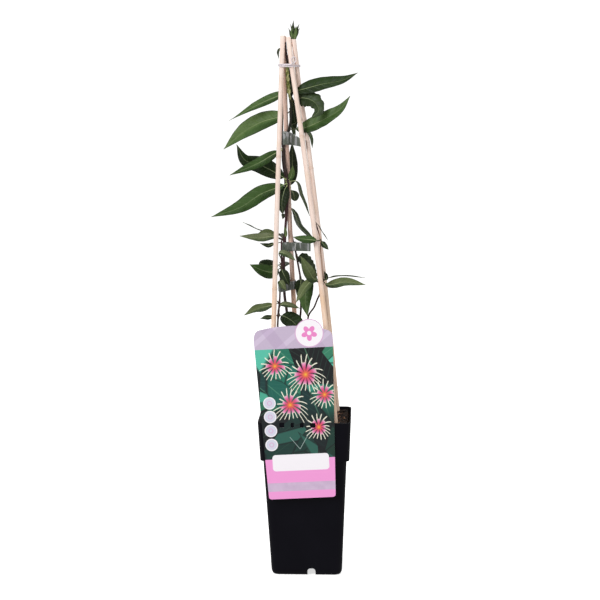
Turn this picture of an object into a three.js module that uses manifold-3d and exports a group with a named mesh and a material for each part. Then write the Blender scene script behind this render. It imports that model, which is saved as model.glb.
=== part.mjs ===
// A young honeysuckle climber as a garden nursery sells it: four twining stems in a tall square
// pot, tied to bamboo canes that lean together at the top, with a large hang-on label.
//
// Millimetres, +Z up, +Y towards the back. The origin is below the middle of the pot's rim, on
// the surface that the pot stands on.
import * as THREE from 'three';
import { mergeVertices } from 'three/addons/utils/BufferGeometryUtils.js';
import Module from 'manifold-3d';

const wasm = await Module();
wasm.setup();

// ---------------------------------------------------------------- driving dimensions
const GAP = 0.35;       // between pieces that touch

const POT = {
  height: 196,
  foot: 80.1,         // width of the flat foot
  footCorner: 6,
  flare: 85.7,        // width halfway round the foot's edge
  flareZ: 2.4,
  base: 88.4,         // width just above the rounded foot
  baseZ: 7,
  shoulder: 103.4,    // width under the collar
  shoulderZ: 147,
  collar: 110.2,      // width at the collar's lower edge
  collarZ: 149,
  rim: 115.3,
  lean: 3,            // how far the foot of the filled pot stands to the right of its rim
  wall: 1.5,
  corner: 8,
  floorZ: 10.5,       // underside of the raised floor
  floor: 2,
  pad: 26,            // the square foot under the floor's middle
};
const DRAIN = { width: 10.5, height: 9, round: 3, offset: 8, holeRadius: 4, holePitch: 22 };

const SOIL = { top: 190, edge: 185, slope: 0.03, lump: 1.1, ledgeGap: 0.8 };

const CANE = {
  bottomZ: 70,
  soilZ: 196,
  tieZ: 632,
  topZ: 667,
  thick: 3.15,        // radius at the bottom
  thin: 2.7,          // radius at the top
  swelling: 0.3,      // of the radius at a joint
  tuck: 0.07,         // how much nearer the middle the lower end stands
  sides: 10,
};
const CANES = {
  cane_front_left: {
    ground: [-41, -41],
    tie: [-29, -4],
    top: [-27.4, -1],
    trim: 1,
    bow: -0.6,
    joints: [163, 287, 470],
  },
  cane_front_right: {
    ground: [38, -41],
    tie: [-17.2, -3.2],
    top: [-21.2, 0],
    trim: -0.5,
    bow: 3.2,
    joints: [140, 345, 520],
  },
  cane_back_right: {
    ground: [39.4, 40],
    tie: [-10.6, 2.8],
    top: [-15, -0.4],
    trim: -3.5,
    bow: 3.1,
    joints: [225, 340, 505],
  },
  cane_back_left: {
    ground: [-8, 41],
    tie: [-26.7, 4.6],
    top: [-27.2, 5.6],
    trim: 0.5,
    bow: -2.1,
    joints: [150, 300, 448],
  },
};

const WIRE = {
  radius: 0.75,
  sides: 5,
  turns: 2.1,
  pitch: 2.6,
  z: 629,
  startAngle: -0.5,   // radians round from the front
  // the loop in which it ends, as steps away from the end of its last turn
  loop: [[2.4, -1, 1.4], [3.8, -1.2, 4.2], [2, -1.6, 6.4], [0.2, -1.9, 4.4], [0.8, -2.2, 0.6]],
};
const TAPE = {
  thickness: 0.6,
  height: 11,
  tail: 1.1,          // thickness of the two ends laid together
  tailFrom: [3, -1.9],   // where the tail leaves, off the middle of the cane inside
  stapleAt: 3,        // how far along the tail
};
const STAPLE = { radius: 0.4, height: 8, foot: 1.5 };

const LABEL = {
  thickness: 0.8,
  bottomWidth: 82.5,
  topLeft: 49.3,      // from the middle to the upper left corner
  topRight: 47.5,
  side: 204,          // height of the straight sides
  leftEnd: 7,         // how far above them the top edge stands at its left end,
  rightEnd: 4,        // at its right end
  crown: 16,          // and at its curve's control point
  corner: 7,
  footCorner: 4,
  disc: { x: 19, z: 205, radius: 17.5 },
  turn: 3,            // degrees, its right side higher
  foot: [-1.9, 102],  // where the middle of its lower edge hangs
  windows: [[-27.3, 6], [-14.4, 4], [-2.7, 4.4], [10.7, 6.6]],   // middle and width of each
  windowHeight: 6,
  tab: { reach: 3.4, drop: 3.4 },
};

const STEM_SIDES = 5;
const BLADE = {
  thickness: 0.7,
  tipWidth: 0.7,
  petioleWidth: 1.5,
  petioleThickness: 1.3,
  fold: 0.22,         // how far a half rises, over its width
  smallWidth: 10,     // narrower ones are made with fewer points
  broadest: 0.365,    // share of the length where it is broadest
  roundness: 0.62,    // lower is rounder at the base
};

const COLOUR = {
  pot: 0x141417,
  soil: 0x35241a,
  cane: 0xe6cdb2,
  wire: 0xe4e4de,
  tape: 0x66706b,
  staple: 0xb9bcc0,
  label: 0xb9a3c6,
  leaf: 0x2c5426,
};

// ---------------------------------------------------------------- meshes and solids
const V = (x, y, z) => new THREE.Vector3(x, y, z);

/** A triangle mesh from corner points and index triples. */
function meshOf(points, triangles) {
  const geometry = new THREE.BufferGeometry();
  const positions = points.flatMap((p) => p.toArray());
  geometry.setAttribute('position', new THREE.Float32BufferAttribute(positions, 3));
  geometry.setIndex(triangles.flat());
  return geometry;
}

/** The solid that a closed mesh bounds, with its faces turned outward. */
function solid(geometry) {
  const bare = geometry.clone();
  bare.deleteAttribute('normal');
  bare.deleteAttribute('uv');
  const merged = mergeVertices(bare, 1e-4);
  const vertProperties = new Float32Array(merged.attributes.position.array);
  const triVerts = new Uint32Array(merged.index.array);
  if (signedVolume(vertProperties, triVerts) < 0) {
    for (let i = 0; i < triVerts.length; i += 3) {
      [triVerts[i], triVerts[i + 1]] = [triVerts[i + 1], triVerts[i]];
    }
  }
  return new wasm.Manifold(new wasm.Mesh({ numProp: 3, vertProperties, triVerts }));
}

function signedVolume(positions, indices) {
  const corner = (k) => new THREE.Vector3().fromArray(positions, 3 * indices[k]);
  let sum = 0;
  for (let i = 0; i < indices.length; i += 3) {
    sum += corner(i).dot(corner(i + 1).cross(corner(i + 2)));
  }
  return sum / 6;
}

/** A named, coloured mesh of a solid. */
function piece(name, shape, color, roughness, metalness = 0) {
  const { vertProperties, triVerts } = shape.getMesh();
  const geometry = new THREE.BufferGeometry();
  geometry.setAttribute('position', new THREE.Float32BufferAttribute(vertProperties, 3));
  geometry.setIndex([...triVerts]);
  geometry.computeVertexNormals();
  const mesh = new THREE.Mesh(geometry, new THREE.MeshStandardMaterial({ color, roughness, metalness }));
  mesh.name = name;
  return mesh;
}

const join = (shapes) => shapes.reduce((all, shape) => all.add(shape));
const cutAll = (shape, cutters) => cutters.reduce((rest, cutter) => rest.subtract(cutter), shape);

/** A closed skin over a row of rings with the same number of points, capped at both ends. */
function loft(rings) {
  const sides = rings[0].length;
  const points = rings.flat();
  const centre = (ring) => ring.reduce((sum, p) => sum.add(p), V(0, 0, 0)).divideScalar(sides);
  const first = points.push(centre(rings[0])) - 1;
  const last = points.push(centre(rings.at(-1))) - 1;
  const end = (rings.length - 1) * sides;
  const triangles = [];
  for (let i = 0; i < sides; i += 1) {
    const j = (i + 1) % sides;
    triangles.push([first, j, i], [last, end + i, end + j]);
    for (let low = 0; low < end; low += sides) {
      triangles.push([low + i, low + j, low + sides + j], [low + i, low + sides + j, low + sides + i]);
    }
  }
  return solid(meshOf(points, triangles));
}

/** A round bar along a curve, its radius a function of the share of the way along. */
function bar(curve, steps, sides, radiusAt) {
  const frames = curve.computeFrenetFrames(steps, false);
  const rings = [];
  for (let k = 0; k <= steps; k += 1) {
    const centre = curve.getPointAt(k / steps);
    const radius = radiusAt(k / steps);
    const ring = [];
    for (let i = 0; i < sides; i += 1) {
      const angle = (2 * Math.PI * i) / sides;
      ring.push(centre.clone()
        .addScaledVector(frames.normals[k], radius * Math.cos(angle))
        .addScaledVector(frames.binormals[k], radius * Math.sin(angle)));
    }
    rings.push(ring);
  }
  return loft(rings);
}

const smooth = (points) => new THREE.CatmullRomCurve3(points.map((p) => V(...p)), false, 'centripetal');

const box = (sx, sy, sz, x, y, z) => solid(new THREE.BoxGeometry(sx, sy, sz).translate(x, y, z));

/** A repeatable value from -1 to 1 for a pair of whole numbers. */
function ripple(i, j) {
  const wave = Math.sin(i * 12.9898 + j * 78.233) * 43758.5453;
  return 2 * (wave - Math.floor(wave)) - 1;
}

// ---------------------------------------------------------------- the pot and its soil
const CORNER_STEPS = 3;

/** How far to the right the pot's middle stands at height z. */
const leanAt = (z) => POT.lean * (1 - z / POT.height);

/** A square with rounded corners, level at height z, round the leaning pot's middle. */
function squareRing(width, corner, z) {
  const inner = width / 2 - corner;
  const middle = leanAt(z);
  const ring = [];
  for (let quarter = 0; quarter < 4; quarter += 1) {
    for (let step = 0; step <= CORNER_STEPS; step += 1) {
      const angle = (Math.PI / 2) * (quarter + step / CORNER_STEPS);
      const cx = inner * Math.sign(Math.cos(Math.PI / 4 + (quarter * Math.PI) / 2));
      const cy = inner * Math.sign(Math.sin(Math.PI / 4 + (quarter * Math.PI) / 2));
      ring.push(V(middle + cx + corner * Math.cos(angle), cy + corner * Math.sin(angle), z));
    }
  }
  return ring;
}

/** The pot's outer width at height z, above the rounded foot. */
function potWidth(z) {
  if (z <= POT.shoulderZ) {
    const share = (z - POT.baseZ) / (POT.shoulderZ - POT.baseZ);
    return THREE.MathUtils.lerp(POT.base, POT.shoulder, share);
  }
  const share = (z - POT.collarZ) / (POT.height - POT.collarZ);
  return THREE.MathUtils.lerp(POT.collar, POT.rim, share);
}

function pot() {
  const inset = 2 * POT.wall;
  const innerCorner = POT.corner - POT.wall;
  const outside = loft([
    squareRing(POT.foot, POT.footCorner, 0),
    squareRing(POT.flare, (POT.footCorner + POT.corner) / 2, POT.flareZ),
    squareRing(POT.base, POT.corner, POT.baseZ),
    squareRing(POT.shoulder, POT.corner, POT.shoulderZ),
    squareRing(POT.collar, POT.corner, POT.collarZ),
    squareRing(POT.rim, POT.corner, POT.height),
  ]);
  const floorTop = POT.floorZ + POT.floor;
  const inside = loft([
    squareRing(potWidth(floorTop) - inset, innerCorner, floorTop),
    squareRing(POT.shoulder - inset, innerCorner, POT.shoulderZ + POT.wall),
    squareRing(POT.collar - inset, innerCorner, POT.collarZ + POT.wall),
    squareRing(POT.rim - inset, innerCorner, POT.height + 1),
  ]);
  const under = loft([
    squareRing(POT.foot - inset, POT.footCorner - POT.wall, -1),
    squareRing(POT.foot - inset, POT.footCorner - POT.wall, POT.flareZ / 4),
    squareRing(POT.flare - inset, innerCorner, POT.floorZ),
  ]);
  const padTop = POT.floorZ + POT.floor / 2;
  const pad = box(POT.pad, POT.pad, padTop, POT.lean, 0, padTop / 2);
  return cutAll(outside, [inside, under, ...drainNotches()]).add(pad).subtract(join(drainHoles()));
}

/** One round-topped notch low in each wall, as far off the middle each time. */
function drainNotches() {
  const { width, height, round, offset } = DRAIN;
  const half = width / 2;
  const arch = new THREE.Shape();
  arch.moveTo(-half, -1);
  arch.lineTo(half, -1);
  arch.lineTo(half, height - round);
  arch.quadraticCurveTo(half, height, half - round, height);
  arch.lineTo(round - half, height);
  arch.quadraticCurveTo(-half, height, -half, height - round);
  const depth = POT.base / 2;
  return [0, 1, 2, 3].map((side) => {
    const cutter = new THREE.ExtrudeGeometry(arch, { depth, bevelEnabled: false, curveSegments: 3 });
    cutter.rotateX(Math.PI / 2);
    cutter.translate(offset, -POT.pad / 2 - 2 * POT.wall, 0);
    cutter.rotateZ((side * Math.PI) / 2);
    return solid(cutter.translate(POT.lean, 0, 0));
  });
}

function drainHoles() {
  const holes = [];
  for (const x of [POT.lean - DRAIN.holePitch, POT.lean + DRAIN.holePitch]) {
    for (const y of [-DRAIN.holePitch, DRAIN.holePitch]) {
      const hole = new THREE.CylinderGeometry(DRAIN.holeRadius, DRAIN.holeRadius, 3 * POT.floor, 10);
      holes.push(solid(hole.rotateX(Math.PI / 2).translate(x, y, POT.floorZ + POT.floor / 2)));
    }
  }
  return holes;
}

function soil() {
  const inset = 2 * (POT.wall + GAP);
  const corner = POT.corner - POT.wall - GAP;
  const level = (x, y, i, j) => SOIL.top + SOIL.slope * (x + y) + SOIL.lump * ripple(i, j);
  const bottom = POT.floorZ + POT.floor + GAP;
  const rings = [
    squareRing(potWidth(bottom) - inset, corner, bottom),
    squareRing(POT.shoulder - inset, corner, POT.shoulderZ + POT.wall + SOIL.ledgeGap),
    squareRing(POT.collar - inset, corner, POT.collarZ + POT.wall + SOIL.ledgeGap),
  ];
  const edge = potWidth(SOIL.edge) - inset;
  [1, 0.94, 0.82, 0.68, 0.53, 0.37, 0.2, 0.07].forEach((share, i) => {
    const ring = squareRing(edge * share, corner * share, SOIL.edge);
    if (i > 0) ring.forEach((p, j) => p.setZ(level(p.x, p.y, i, j)));
    rings.push(ring);
  });
  return loft(rings);
}

// ---------------------------------------------------------------- the canes
/** The middle of a cane at height z. */
function caneAt(name, z) {
  const { ground, tie, top, bow } = CANES[name];
  const mix = (a, b, t) => [a[0] + (b[0] - a[0]) * t, a[1] + (b[1] - a[1]) * t];
  if (z > CANE.tieZ) {
    return mix(tie, top, (z - CANE.tieZ) / (CANE.topZ - CANE.tieZ));
  }
  if (z < CANE.soilZ) {
    // in the soil it follows the pot's taper inward
    const depth = (CANE.soilZ - z) / (CANE.soilZ - CANE.bottomZ);
    return ground.map((v) => v * (1 - CANE.tuck * depth));
  }
  const t = (z - CANE.soilZ) / (CANE.tieZ - CANE.soilZ);
  const [x, y] = mix(ground, tie, t);
  return [x + 4 * bow * t * (1 - t), y];
}

/** A cane's radius at height z, without the swelling at its joints. */
function caneRadius(z) {
  return THREE.MathUtils.mapLinear(z, CANE.bottomZ, CANE.topZ, CANE.thick, CANE.thin);
}

function cane(name, grow = 0) {
  const { joints, trim } = CANES[name];
  const heights = [CANE.bottomZ - grow, CANE.soilZ, 250, 400, 580, CANE.tieZ, CANE.topZ + trim];
  for (const z of joints) {
    heights.push(z - 3, z - 0.7, z + 0.9, z + 4);
  }
  heights.sort((a, b) => a - b);
  const rings = heights.map((z) => {
    const atJoint = joints.some((joint) => Math.abs(z - joint) < 1);
    const radius = caneRadius(z) + grow + (atJoint ? CANE.swelling : 0);
    return circle(caneAt(name, z), radius, z, CANE.sides);
  });
  return loft(rings);
}

/** A level circle as a ring of points. */
function circle([x, y], radius, z, sides) {
  const ring = [];
  for (let i = 0; i < sides; i += 1) {
    const angle = (2 * Math.PI * i) / sides;
    ring.push(V(x + radius * Math.cos(angle), y + radius * Math.sin(angle), z));
  }
  return ring;
}

// ---------------------------------------------------------------- stems and leaves
const STEMS = {
  main: {
    thick: 2,
    thin: 1.3,
    steps: 44,
    path: [
      [-8, 8, 150], [-9, 8, 190], [-16, 10, 251], [-24, 15, 324], [-27, 18, 345], [-28, 20, 383],
      [-28, 20, 399], [-27, 19, 414], [-25, 16, 440], [-23, 11.7, 462], [-22.3, 9.6, 489],
      [-26, 8.5, 509], [-28.3, 8.4, 529], [-24, 5.6, 542], [-19.5, 7.5, 559], [-18.6, 10, 583],
      [-20.4, 10, 602], [-21.8, 8.2, 620], [-21.6, 3.6, 636], [-19.5, 5, 651], [-16, 6.2, 660],
      [-13.4, 5.6, 670],
    ],
  },
  left: {
    thick: 1.7,
    thin: 0.9,
    steps: 22,
    path: [
      [-21, 4, 150], [-24, 4, 190], [-32, 3, 252], [-35, 3, 305], [-34, 4, 325], [-32.6, 5, 340],
      [-32, 6, 355], [-31, 6, 370], [-30, 6, 386], [-30.5, 5.5, 401], [-30, 4.5, 417],
    ],
  },
  back: {
    thick: 1.7,
    thin: 1,
    steps: 26,
    path: [
      [-2, 14, 150], [-2, 14, 190], [-5, 14, 250], [-8.7, 14, 301], [-6.5, 13, 324], [-6, 12, 346],
      [-6.7, 13, 366], [-9.8, 18, 383], [-13.2, 28, 398], [-17.5, 31.5, 416], [-20.5, 30, 439],
      [-21, 27, 464], [-20.5, 25, 479],
    ],
  },
  right: {
    thick: 1.5,
    thin: 0.8,
    steps: 30,
    path: [
      [2, -3, 150], [1, -3, 190], [2, -3, 253], [3, -4, 304], [4, -5, 322], [11, -7, 333],
      [15, -9, 343], [18.5, -12, 351], [21.5, -11, 360], [21.5, -9, 370], [20.5, -9, 389],
      [19, -13, 405], [19, -19, 419], [15, -13, 432], [11.5, -8, 442],
    ],
  },
};

/** A leaf by its width, the bare stalk before its blade, the way its upper side looks, and the
 *  points that its rib passes from the middle of its stem to its tip. */
const leaf = (width, petiole, face, ...rib) => ({ width, petiole, face, rib, wave: 0.5 });
const wavyLeaf = (...terms) => ({ ...leaf(...terms), wave: 1.6 });

const LEAVES = {
  main: [
    // the pairs at the top, spread left and right
    leaf(
      21, 15, [0, -0.8, 0.6],
      [-20.4, 10, 600], [-8, 0, 601.5], [20, -7, 608.5], [46, -13, 613.5], [64, -18, 622.5],
    ),
    wavyLeaf(
      19, 15, [0.2, -0.9, 0.4],
      [-18.6, 10, 587], [-4, 0, 592], [10.5, -10, 587.5], [16.5, -15, 577], [7, -17, 567],
    ),
    leaf(
      22, 15, [-0.1, -0.85, 0.5],
      [-21.2, 6.7, 553], [-2, 0, 555], [26, -9, 567.5], [43, -13, 578.5], [55, -16, 594.5],
    ),
    leaf(9, 20, [0.9, 0.3, 0.4], [-21.2, 6.7, 553], [-4, 0, 554], [5, -6, 548], [9, -14, 531]),
    leaf(16, 11, [0, -0.75, 0.65], [-20.4, 10, 599], [-27, 15.5, 597], [-55, 16, 585.5], [-95, 5, 564]),
    leaf(
      26.5, 12, [0, -0.8, 0.6],
      [-18.6, 10, 577], [-26, 17, 570.5], [-55, 22, 562], [-79, 22, 548.5], [-103, 18, 528],
    ),
    leaf(13, 4, [0.3, -0.9, 0.1], [-19.6, 10, 594], [-17, 13, 585], [-15, 16, 568], [-13.5, 19, 546]),
    // the big leaves below the upper tie
    leaf(
      22, 7, [0, -0.93, 0.3],
      [-22.3, 9.6, 489], [-30, 7, 495], [-54, 2, 508], [-75, -3, 515.5], [-85, -7, 535],
    ),
    leaf(14, 6, [0.1, -0.85, 0.5], [-28.3, 8.4, 528], [-37, 2, 524], [-59, -12, 511.5], [-93, -18, 497.5]),
    leaf(
      23.5, 6, [0, -0.75, 0.65],
      [-22.3, 9.6, 487], [-31, 6, 482.5], [-54, -2, 474], [-81, -10, 457], [-116, -18, 446],
    ),
    leaf(17, 6, [-0.2, -0.95, 0.2], [-22.3, 9.8, 485], [-27, 4, 478], [-31, 0, 462], [-28, -4, 448]),
    leaf(5, 4, [0, -1, 0.2], [-22.3, 9.6, 490], [-19, 5, 493], [-17, 3.5, 499], [-16, 3, 509]),
    leaf(13, 11, [0.75, -0.35, 0.5], [-22.3, 9.6, 488], [-12, 6, 489], [-5, 5, 471], [5, 4, 446]),
    leaf(15, 9, [0, -0.1, 1], [-20, 7.5, 558], [-13, 15, 561], [-11, 32, 566], [-6, 56, 562]),
    // the pair above the middle tie, and those that hang about it
    leaf(14, 12, [0, -0.7, 0.7], [-27, 19, 415], [-41, 12, 419.2], [-59, 4, 418.2], [-82, -4, 421.4]),
    leaf(11, 10, [0, -0.8, 0.6], [-27, 19, 413], [-38, 21, 418], [-50, 21, 423.5], [-62, 19, 421.5]),
    leaf(5, 34, [0, 0.1, 1], [-27, 19, 416], [-38, 30, 422], [-58, 34, 425.5], [-81, 42, 435]),
    leaf(4, 3, [0, -1, 0.1], [-27, 19, 417], [-25.5, 15, 420], [-25.5, 13.5, 426], [-27, 13, 433]),
    leaf(15, 8, [0, -0.1, 1], [-27, 19, 412], [-30, 30, 417], [-33, 44, 420], [-36, 64, 416]),
    leaf(17, 8, [0.1, -0.1, 1], [-28, 20, 376], [-28, 30, 380], [-24, 46, 383], [-18, 66, 378]),
    // low down, behind the label
    leaf(17, 7, [0, -0.2, 1], [-18, 11.2, 268], [-22, 24, 274], [-26, 40, 272], [-30, 62, 262]),
    leaf(17, 7, [0, -0.2, 1], [-18, 11.2, 268], [-28, 14, 274], [-40, 17, 274], [-54, 19, 262]),
    // young leaves, still clasping the stem among the canes' upper ends
    leaf(8, 6, [0.1, -1, 0.1], [-19.7, 10, 592], [-21.5, 13, 604], [-23, 13.4, 622], [-23.5, 12.4, 642]),
    leaf(6, 4, [0.2, -1, 0.1], [-20.4, 10, 602], [-18.5, 12.6, 610], [-16.8, 13, 622], [-17.5, 12.4, 634]),
    leaf(3, 8, [-0.9, -0.4, 0.2], [-20, 4.6, 649], [-27, 10, 652], [-33, 8, 651], [-33.4, 4, 640]),
    // the tip, a bunch of short leaves one above another
    leaf(4.6, 1, [-0.7, -0.7, 0.3], [-16, 6.2, 660], [-18, 7.2, 664], [-19.6, 6, 670], [-21.2, 4.8, 677]),
    leaf(4.6, 1, [0.6, -0.7, 0.4], [-15.6, 6.1, 661], [-13.2, 7.4, 664], [-10.4, 6, 669], [-7.2, 5, 676.8]),
    leaf(4.8, 1, [-0.3, -0.9, 0.1], [-14.4, 5.8, 665], [-16, 4.6, 670], [-17.6, 4.2, 676], [-18.8, 4, 682]),
    leaf(4.8, 1, [0.3, -0.9, 0.1], [-14.2, 5.8, 666], [-12.4, 4.6, 670], [-10.6, 4.4, 676], [-8.3, 4.6, 682]),
    leaf(4.4, 1, [0, -1, 0.1], [-13.6, 5.6, 668], [-14, 4.2, 673], [-14.6, 3.6, 679], [-15.1, 4, 686.5]),
    leaf(4.4, 1, [0, 1, 0.1], [-13.6, 5.6, 668], [-14.6, 8.2, 672], [-15.2, 9.6, 677], [-15.4, 10, 682.5]),
    leaf(4, 1, [0.6, 0.7, 0.1], [-13.4, 5.6, 669], [-11.8, 8, 672], [-10.8, 9.2, 675], [-10, 10, 679.5]),
  ],
  left: [
    leaf(6, 9, [0, -0.8, 0.5], [-30, 5, 413], [-40, 4, 411], [-47, 2, 409], [-57, 0, 412]),
    leaf(12, 5, [0, -0.9, 0.35], [-30, 6, 386], [-40, 9, 385], [-49, 11, 386.5], [-60, 12, 388]),
    leaf(18, 5, [0, -0.9, 0.35], [-30.2, 6, 381], [-42, -1, 376], [-54, -7, 379], [-69, -11, 386.5]),
    leaf(9, 11, [0, -0.8, 0.5], [-30.2, 6, 391], [-33, 1, 400], [-24, -3, 399], [-12, -7, 391]),
    leaf(15, 5, [0.1, -0.95, 0.2], [-31, 6, 378], [-25, 3, 374], [-22, 4, 366], [-20, 7, 354]),
    leaf(9, 4, [-0.2, -0.95, 0.2], [-31.6, 6, 366], [-33, 0, 361], [-32, -2, 353], [-29, -3, 342]),
    wavyLeaf(13, 8, [0, -0.7, 0.7], [-33, 5, 337], [-42, 2, 334], [-59, -4, 330.5], [-77, -10, 322.5]),
    leaf(7, 8, [0, -0.8, 0.5], [-34, 4, 322], [-42, 8, 318], [-50, 13, 317], [-58, 17, 315]),
    leaf(8, 8, [0, -0.8, 0.5], [-34, 4, 327], [-30, 0, 335], [-21, -2, 335], [-7, -4, 331]),
    leaf(23, 6, [0.1, -0.8, 0.6], [-34, 4, 320], [-29, -1, 321], [-15, -13, 315], [2, -26, 297]),
    leaf(16, 6, [0, -0.2, 1], [-29, 3, 230], [-34, 14, 236], [-40, 28, 236], [-46, 50, 226]),
    leaf(15, 6, [0, -0.2, 1], [-29, 3, 230], [-22, -8, 236], [-18, -22, 238], [-14, -42, 230]),
  ],
  back: [
    leaf(
      13, 5, [0.2, -0.9, -0.1],
      [-20.5, 25, 478.5], [-18, 25.5, 492], [-17.5, 26, 508], [-17, 27.5, 527],
    ),
    leaf(16, 6, [0, -0.3, 0.95], [-20.5, 25, 478], [-16, 32, 474], [-14, 42, 468.5], [-13, 56, 459]),
    leaf(13, 13, [0.6, -0.4, 0.6], [-20.9, 28, 457], [-14.4, 22, 448.5], [-7.5, 8, 433], [8.5, 0, 419.5]),
    leaf(16, 6, [0, -0.1, 1], [-20.5, 30, 440], [-24, 42, 444], [-28, 56, 444], [-32, 78, 436]),
    wavyLeaf(
      15, 17, [0.2, -0.9, 0.3],
      [-12.4, 25.5, 394], [-5, 11, 401], [0, 4, 397], [6, 0, 386], [14.5, -3, 369],
    ),
    leaf(16, 6, [0, -0.2, 1], [-5.4, 14, 256], [2, 24, 262], [9, 35, 262], [17, 52, 252]),
    leaf(13, 4, [0, -0.95, 0.2], [-6.7, 13, 367], [-6, 8, 365], [-7, 5, 358], [-11, 2, 347]),
  ],
  right: [
    leaf(
      10, 13, [0, -0.95, 0.3],
      [19, -19, 419], [18.2, -27.5, 418], [9, -30, 419], [-3, -28, 420], [-15, -23, 422],
    ),
    leaf(8, 3, [0.5, -0.8, 0.3], [19, -19, 419], [22, -20, 413.5], [29, -18, 406]),
    leaf(4, 7, [0.75, 0.05, 0.65], [12.5, -9.5, 439], [16, -12, 436], [22, -14, 426.5], [28.5, -15, 417]),
    leaf(16, 7, [-0.3, -0.9, 0.3], [21.5, -9, 368], [12, -14, 369], [3, -25, 384], [-5, -30, 399]),
    leaf(13, 10, [-0.3, -0.9, 0.3], [21.5, -9, 364], [10, -10, 367], [2, -17, 361], [-11, -27, 341]),
    leaf(
      17, 13, [0, -0.97, 0.2],
      [21.5, -10, 362], [10, -5, 365.5], [4, -5, 360], [0.5, -6, 350], [0, -9, 339.5], [3, -14, 322],
    ),
    leaf(13, 6, [0, -0.75, 0.65], [21.5, -9, 366], [28, -11, 361], [49, -16, 367], [75, -22, 363]),
    leaf(8, 5, [0.3, -0.9, 0.2], [21.5, -9, 366], [27, -11, 367], [23.5, -15, 379]),
    leaf(8, 10, [0, 0.05, 1], [21.5, -9, 367], [30, -6, 370], [45, -2, 372], [74, 4, 369]),
    leaf(17, 7, [0, -0.2, 1], [2.4, -3, 270], [10, 6, 277], [20, 12, 277], [33, 20, 268]),
    leaf(16, 7, [0, -0.2, 1], [2.4, -3, 270], [-4, -14, 276], [-8, -26, 276], [-14, -44, 268]),
  ],
};

/** How wide a blade is at share t of its length: broad below the middle, drawn out to the tip. */
function bladeWidth(t) {
  const { broadest, roundness } = BLADE;
  const shape = (s) => s ** roundness * (1 - s) ** (roundness / broadest - roundness);
  return shape(t) / shape(broadest);
}

/** One leaf with its stalk: a thin body on both sides of a curved, folded and waved middle sheet. */
function blade({ width, petiole, face, rib, wave }) {
  const small = width < BLADE.smallWidth;
  const midrib = smooth(rib);
  const length = midrib.getLength();
  const start = petiole / length;
  const rows = small ? [0, 0.22, 0.5, 0.78, 1] : [0, 0.14, 0.34, 0.57, 0.8, 1];
  const across = small ? [-1, 0, 1] : [-1, -0.5, 0, 0.5, 1];
  const up = V(...face).normalize();
  const top = [];
  const under = [];
  for (const t of [-1, ...rows]) {
    const along = t < 0 ? 0 : start + (1 - start) * t;
    const centre = midrib.getPointAt(along);
    const forward = midrib.getTangentAt(along);
    const normal = up.clone().addScaledVector(forward, -up.dot(forward)).normalize();
    const side = forward.clone().cross(normal);
    const stalk = t <= 0;
    const narrow = THREE.MathUtils.lerp(BLADE.petioleWidth, BLADE.tipWidth, Math.max(t, 0));
    const wide = stalk ? BLADE.petioleWidth : Math.max(narrow, width * bladeWidth(t));
    const half = (stalk ? BLADE.petioleThickness : BLADE.thickness) / 2;
    for (const s of across) {
      const fold = (BLADE.fold * wide * Math.abs(s)) / 2;
      const ripples = wave * s * Math.sin(9 * t + 2 * s) * (wide / width);
      const lift = stalk ? 0 : fold + ripples;
      const p = centre.clone().addScaledVector(side, (s * wide) / 2);
      top.push(p.clone().addScaledVector(normal, lift + half));
      under.push(p.clone().addScaledVector(normal, lift - half));
    }
  }
  return sheet(top, under, across.length);
}

/** A closed body between two grids of points, both split into triangles along the same diagonals. */
function sheet(top, under, columns) {
  const lastRow = top.length / columns - 1;
  const n = top.length;
  const triangles = [];
  for (let r = 0; r < lastRow; r += 1) {
    for (let c = 0; c < columns - 1; c += 1) {
      const a = r * columns + c;
      const b = a + 1;
      const d = a + columns;
      const e = d + 1;
      triangles.push([a, b, e], [a, e, d], [n + b, n + a, n + e], [n + e, n + a, n + d]);
    }
  }
  const rim = [];
  for (let c = 0; c < columns - 1; c += 1) rim.push([c + 1, c]);
  for (let c = 0; c < columns - 1; c += 1) rim.push([lastRow * columns + c, lastRow * columns + c + 1]);
  for (let r = 0; r < lastRow; r += 1) {
    rim.push([r * columns, (r + 1) * columns], [(r + 2) * columns - 1, (r + 1) * columns - 1]);
  }
  for (const [a, b] of rim) {
    triangles.push([a, b, n + b], [a, n + b, n + a]);
  }
  return solid(meshOf([...top, ...under], triangles));
}

const stemCurve = (name) => smooth(STEMS[name].path);

/** A stem's radius at a share of the way up. */
const stemRadius = ({ thick, thin }, share) => THREE.MathUtils.lerp(thick, thin, share);

/** The middle of a stem at height z. */
function stemAt(name, z) {
  const curve = stemCurve(name);
  let low = 0;
  let high = 1;
  for (let k = 0; k < 30; k += 1) {
    const middle = (low + high) / 2;
    if (curve.getPointAt(middle).z < z) low = middle;
    else high = middle;
  }
  const { x, y } = curve.getPointAt(low);
  return [x, y, stemRadius(STEMS[name], low)];
}

function stem(name, grow = 0) {
  const [[x, y, z], ...rest] = STEMS[name].path;
  const curve = smooth([[x, y, z - grow], ...rest]);
  const radiusAt = (share) => stemRadius(STEMS[name], share) + grow;
  return bar(curve, STEMS[name].steps, STEM_SIDES, radiusAt);
}

/** A stem fused with all its leaves. */
const leafyStem = (name) => join([stem(name), ...LEAVES[name].map(blade)]);

// ---------------------------------------------------------------- ties
/** The point where a cord pulled round some upright rods touches, in the direction given. */
function wrapPoint(rods, angle, offset) {
  const [dx, dy] = [Math.cos(angle), Math.sin(angle)];
  const reach = ([x, y, radius]) => x * dx + y * dy + radius;
  const outermost = rods.reduce((best, rod) => (reach(rod) > reach(best) ? rod : best));
  const distance = outermost[2] + offset;
  return [outermost[0] + distance * dx, outermost[1] + distance * dy];
}

const caneRod = (name, z) => [...caneAt(name, z), caneRadius(z)];

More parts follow.
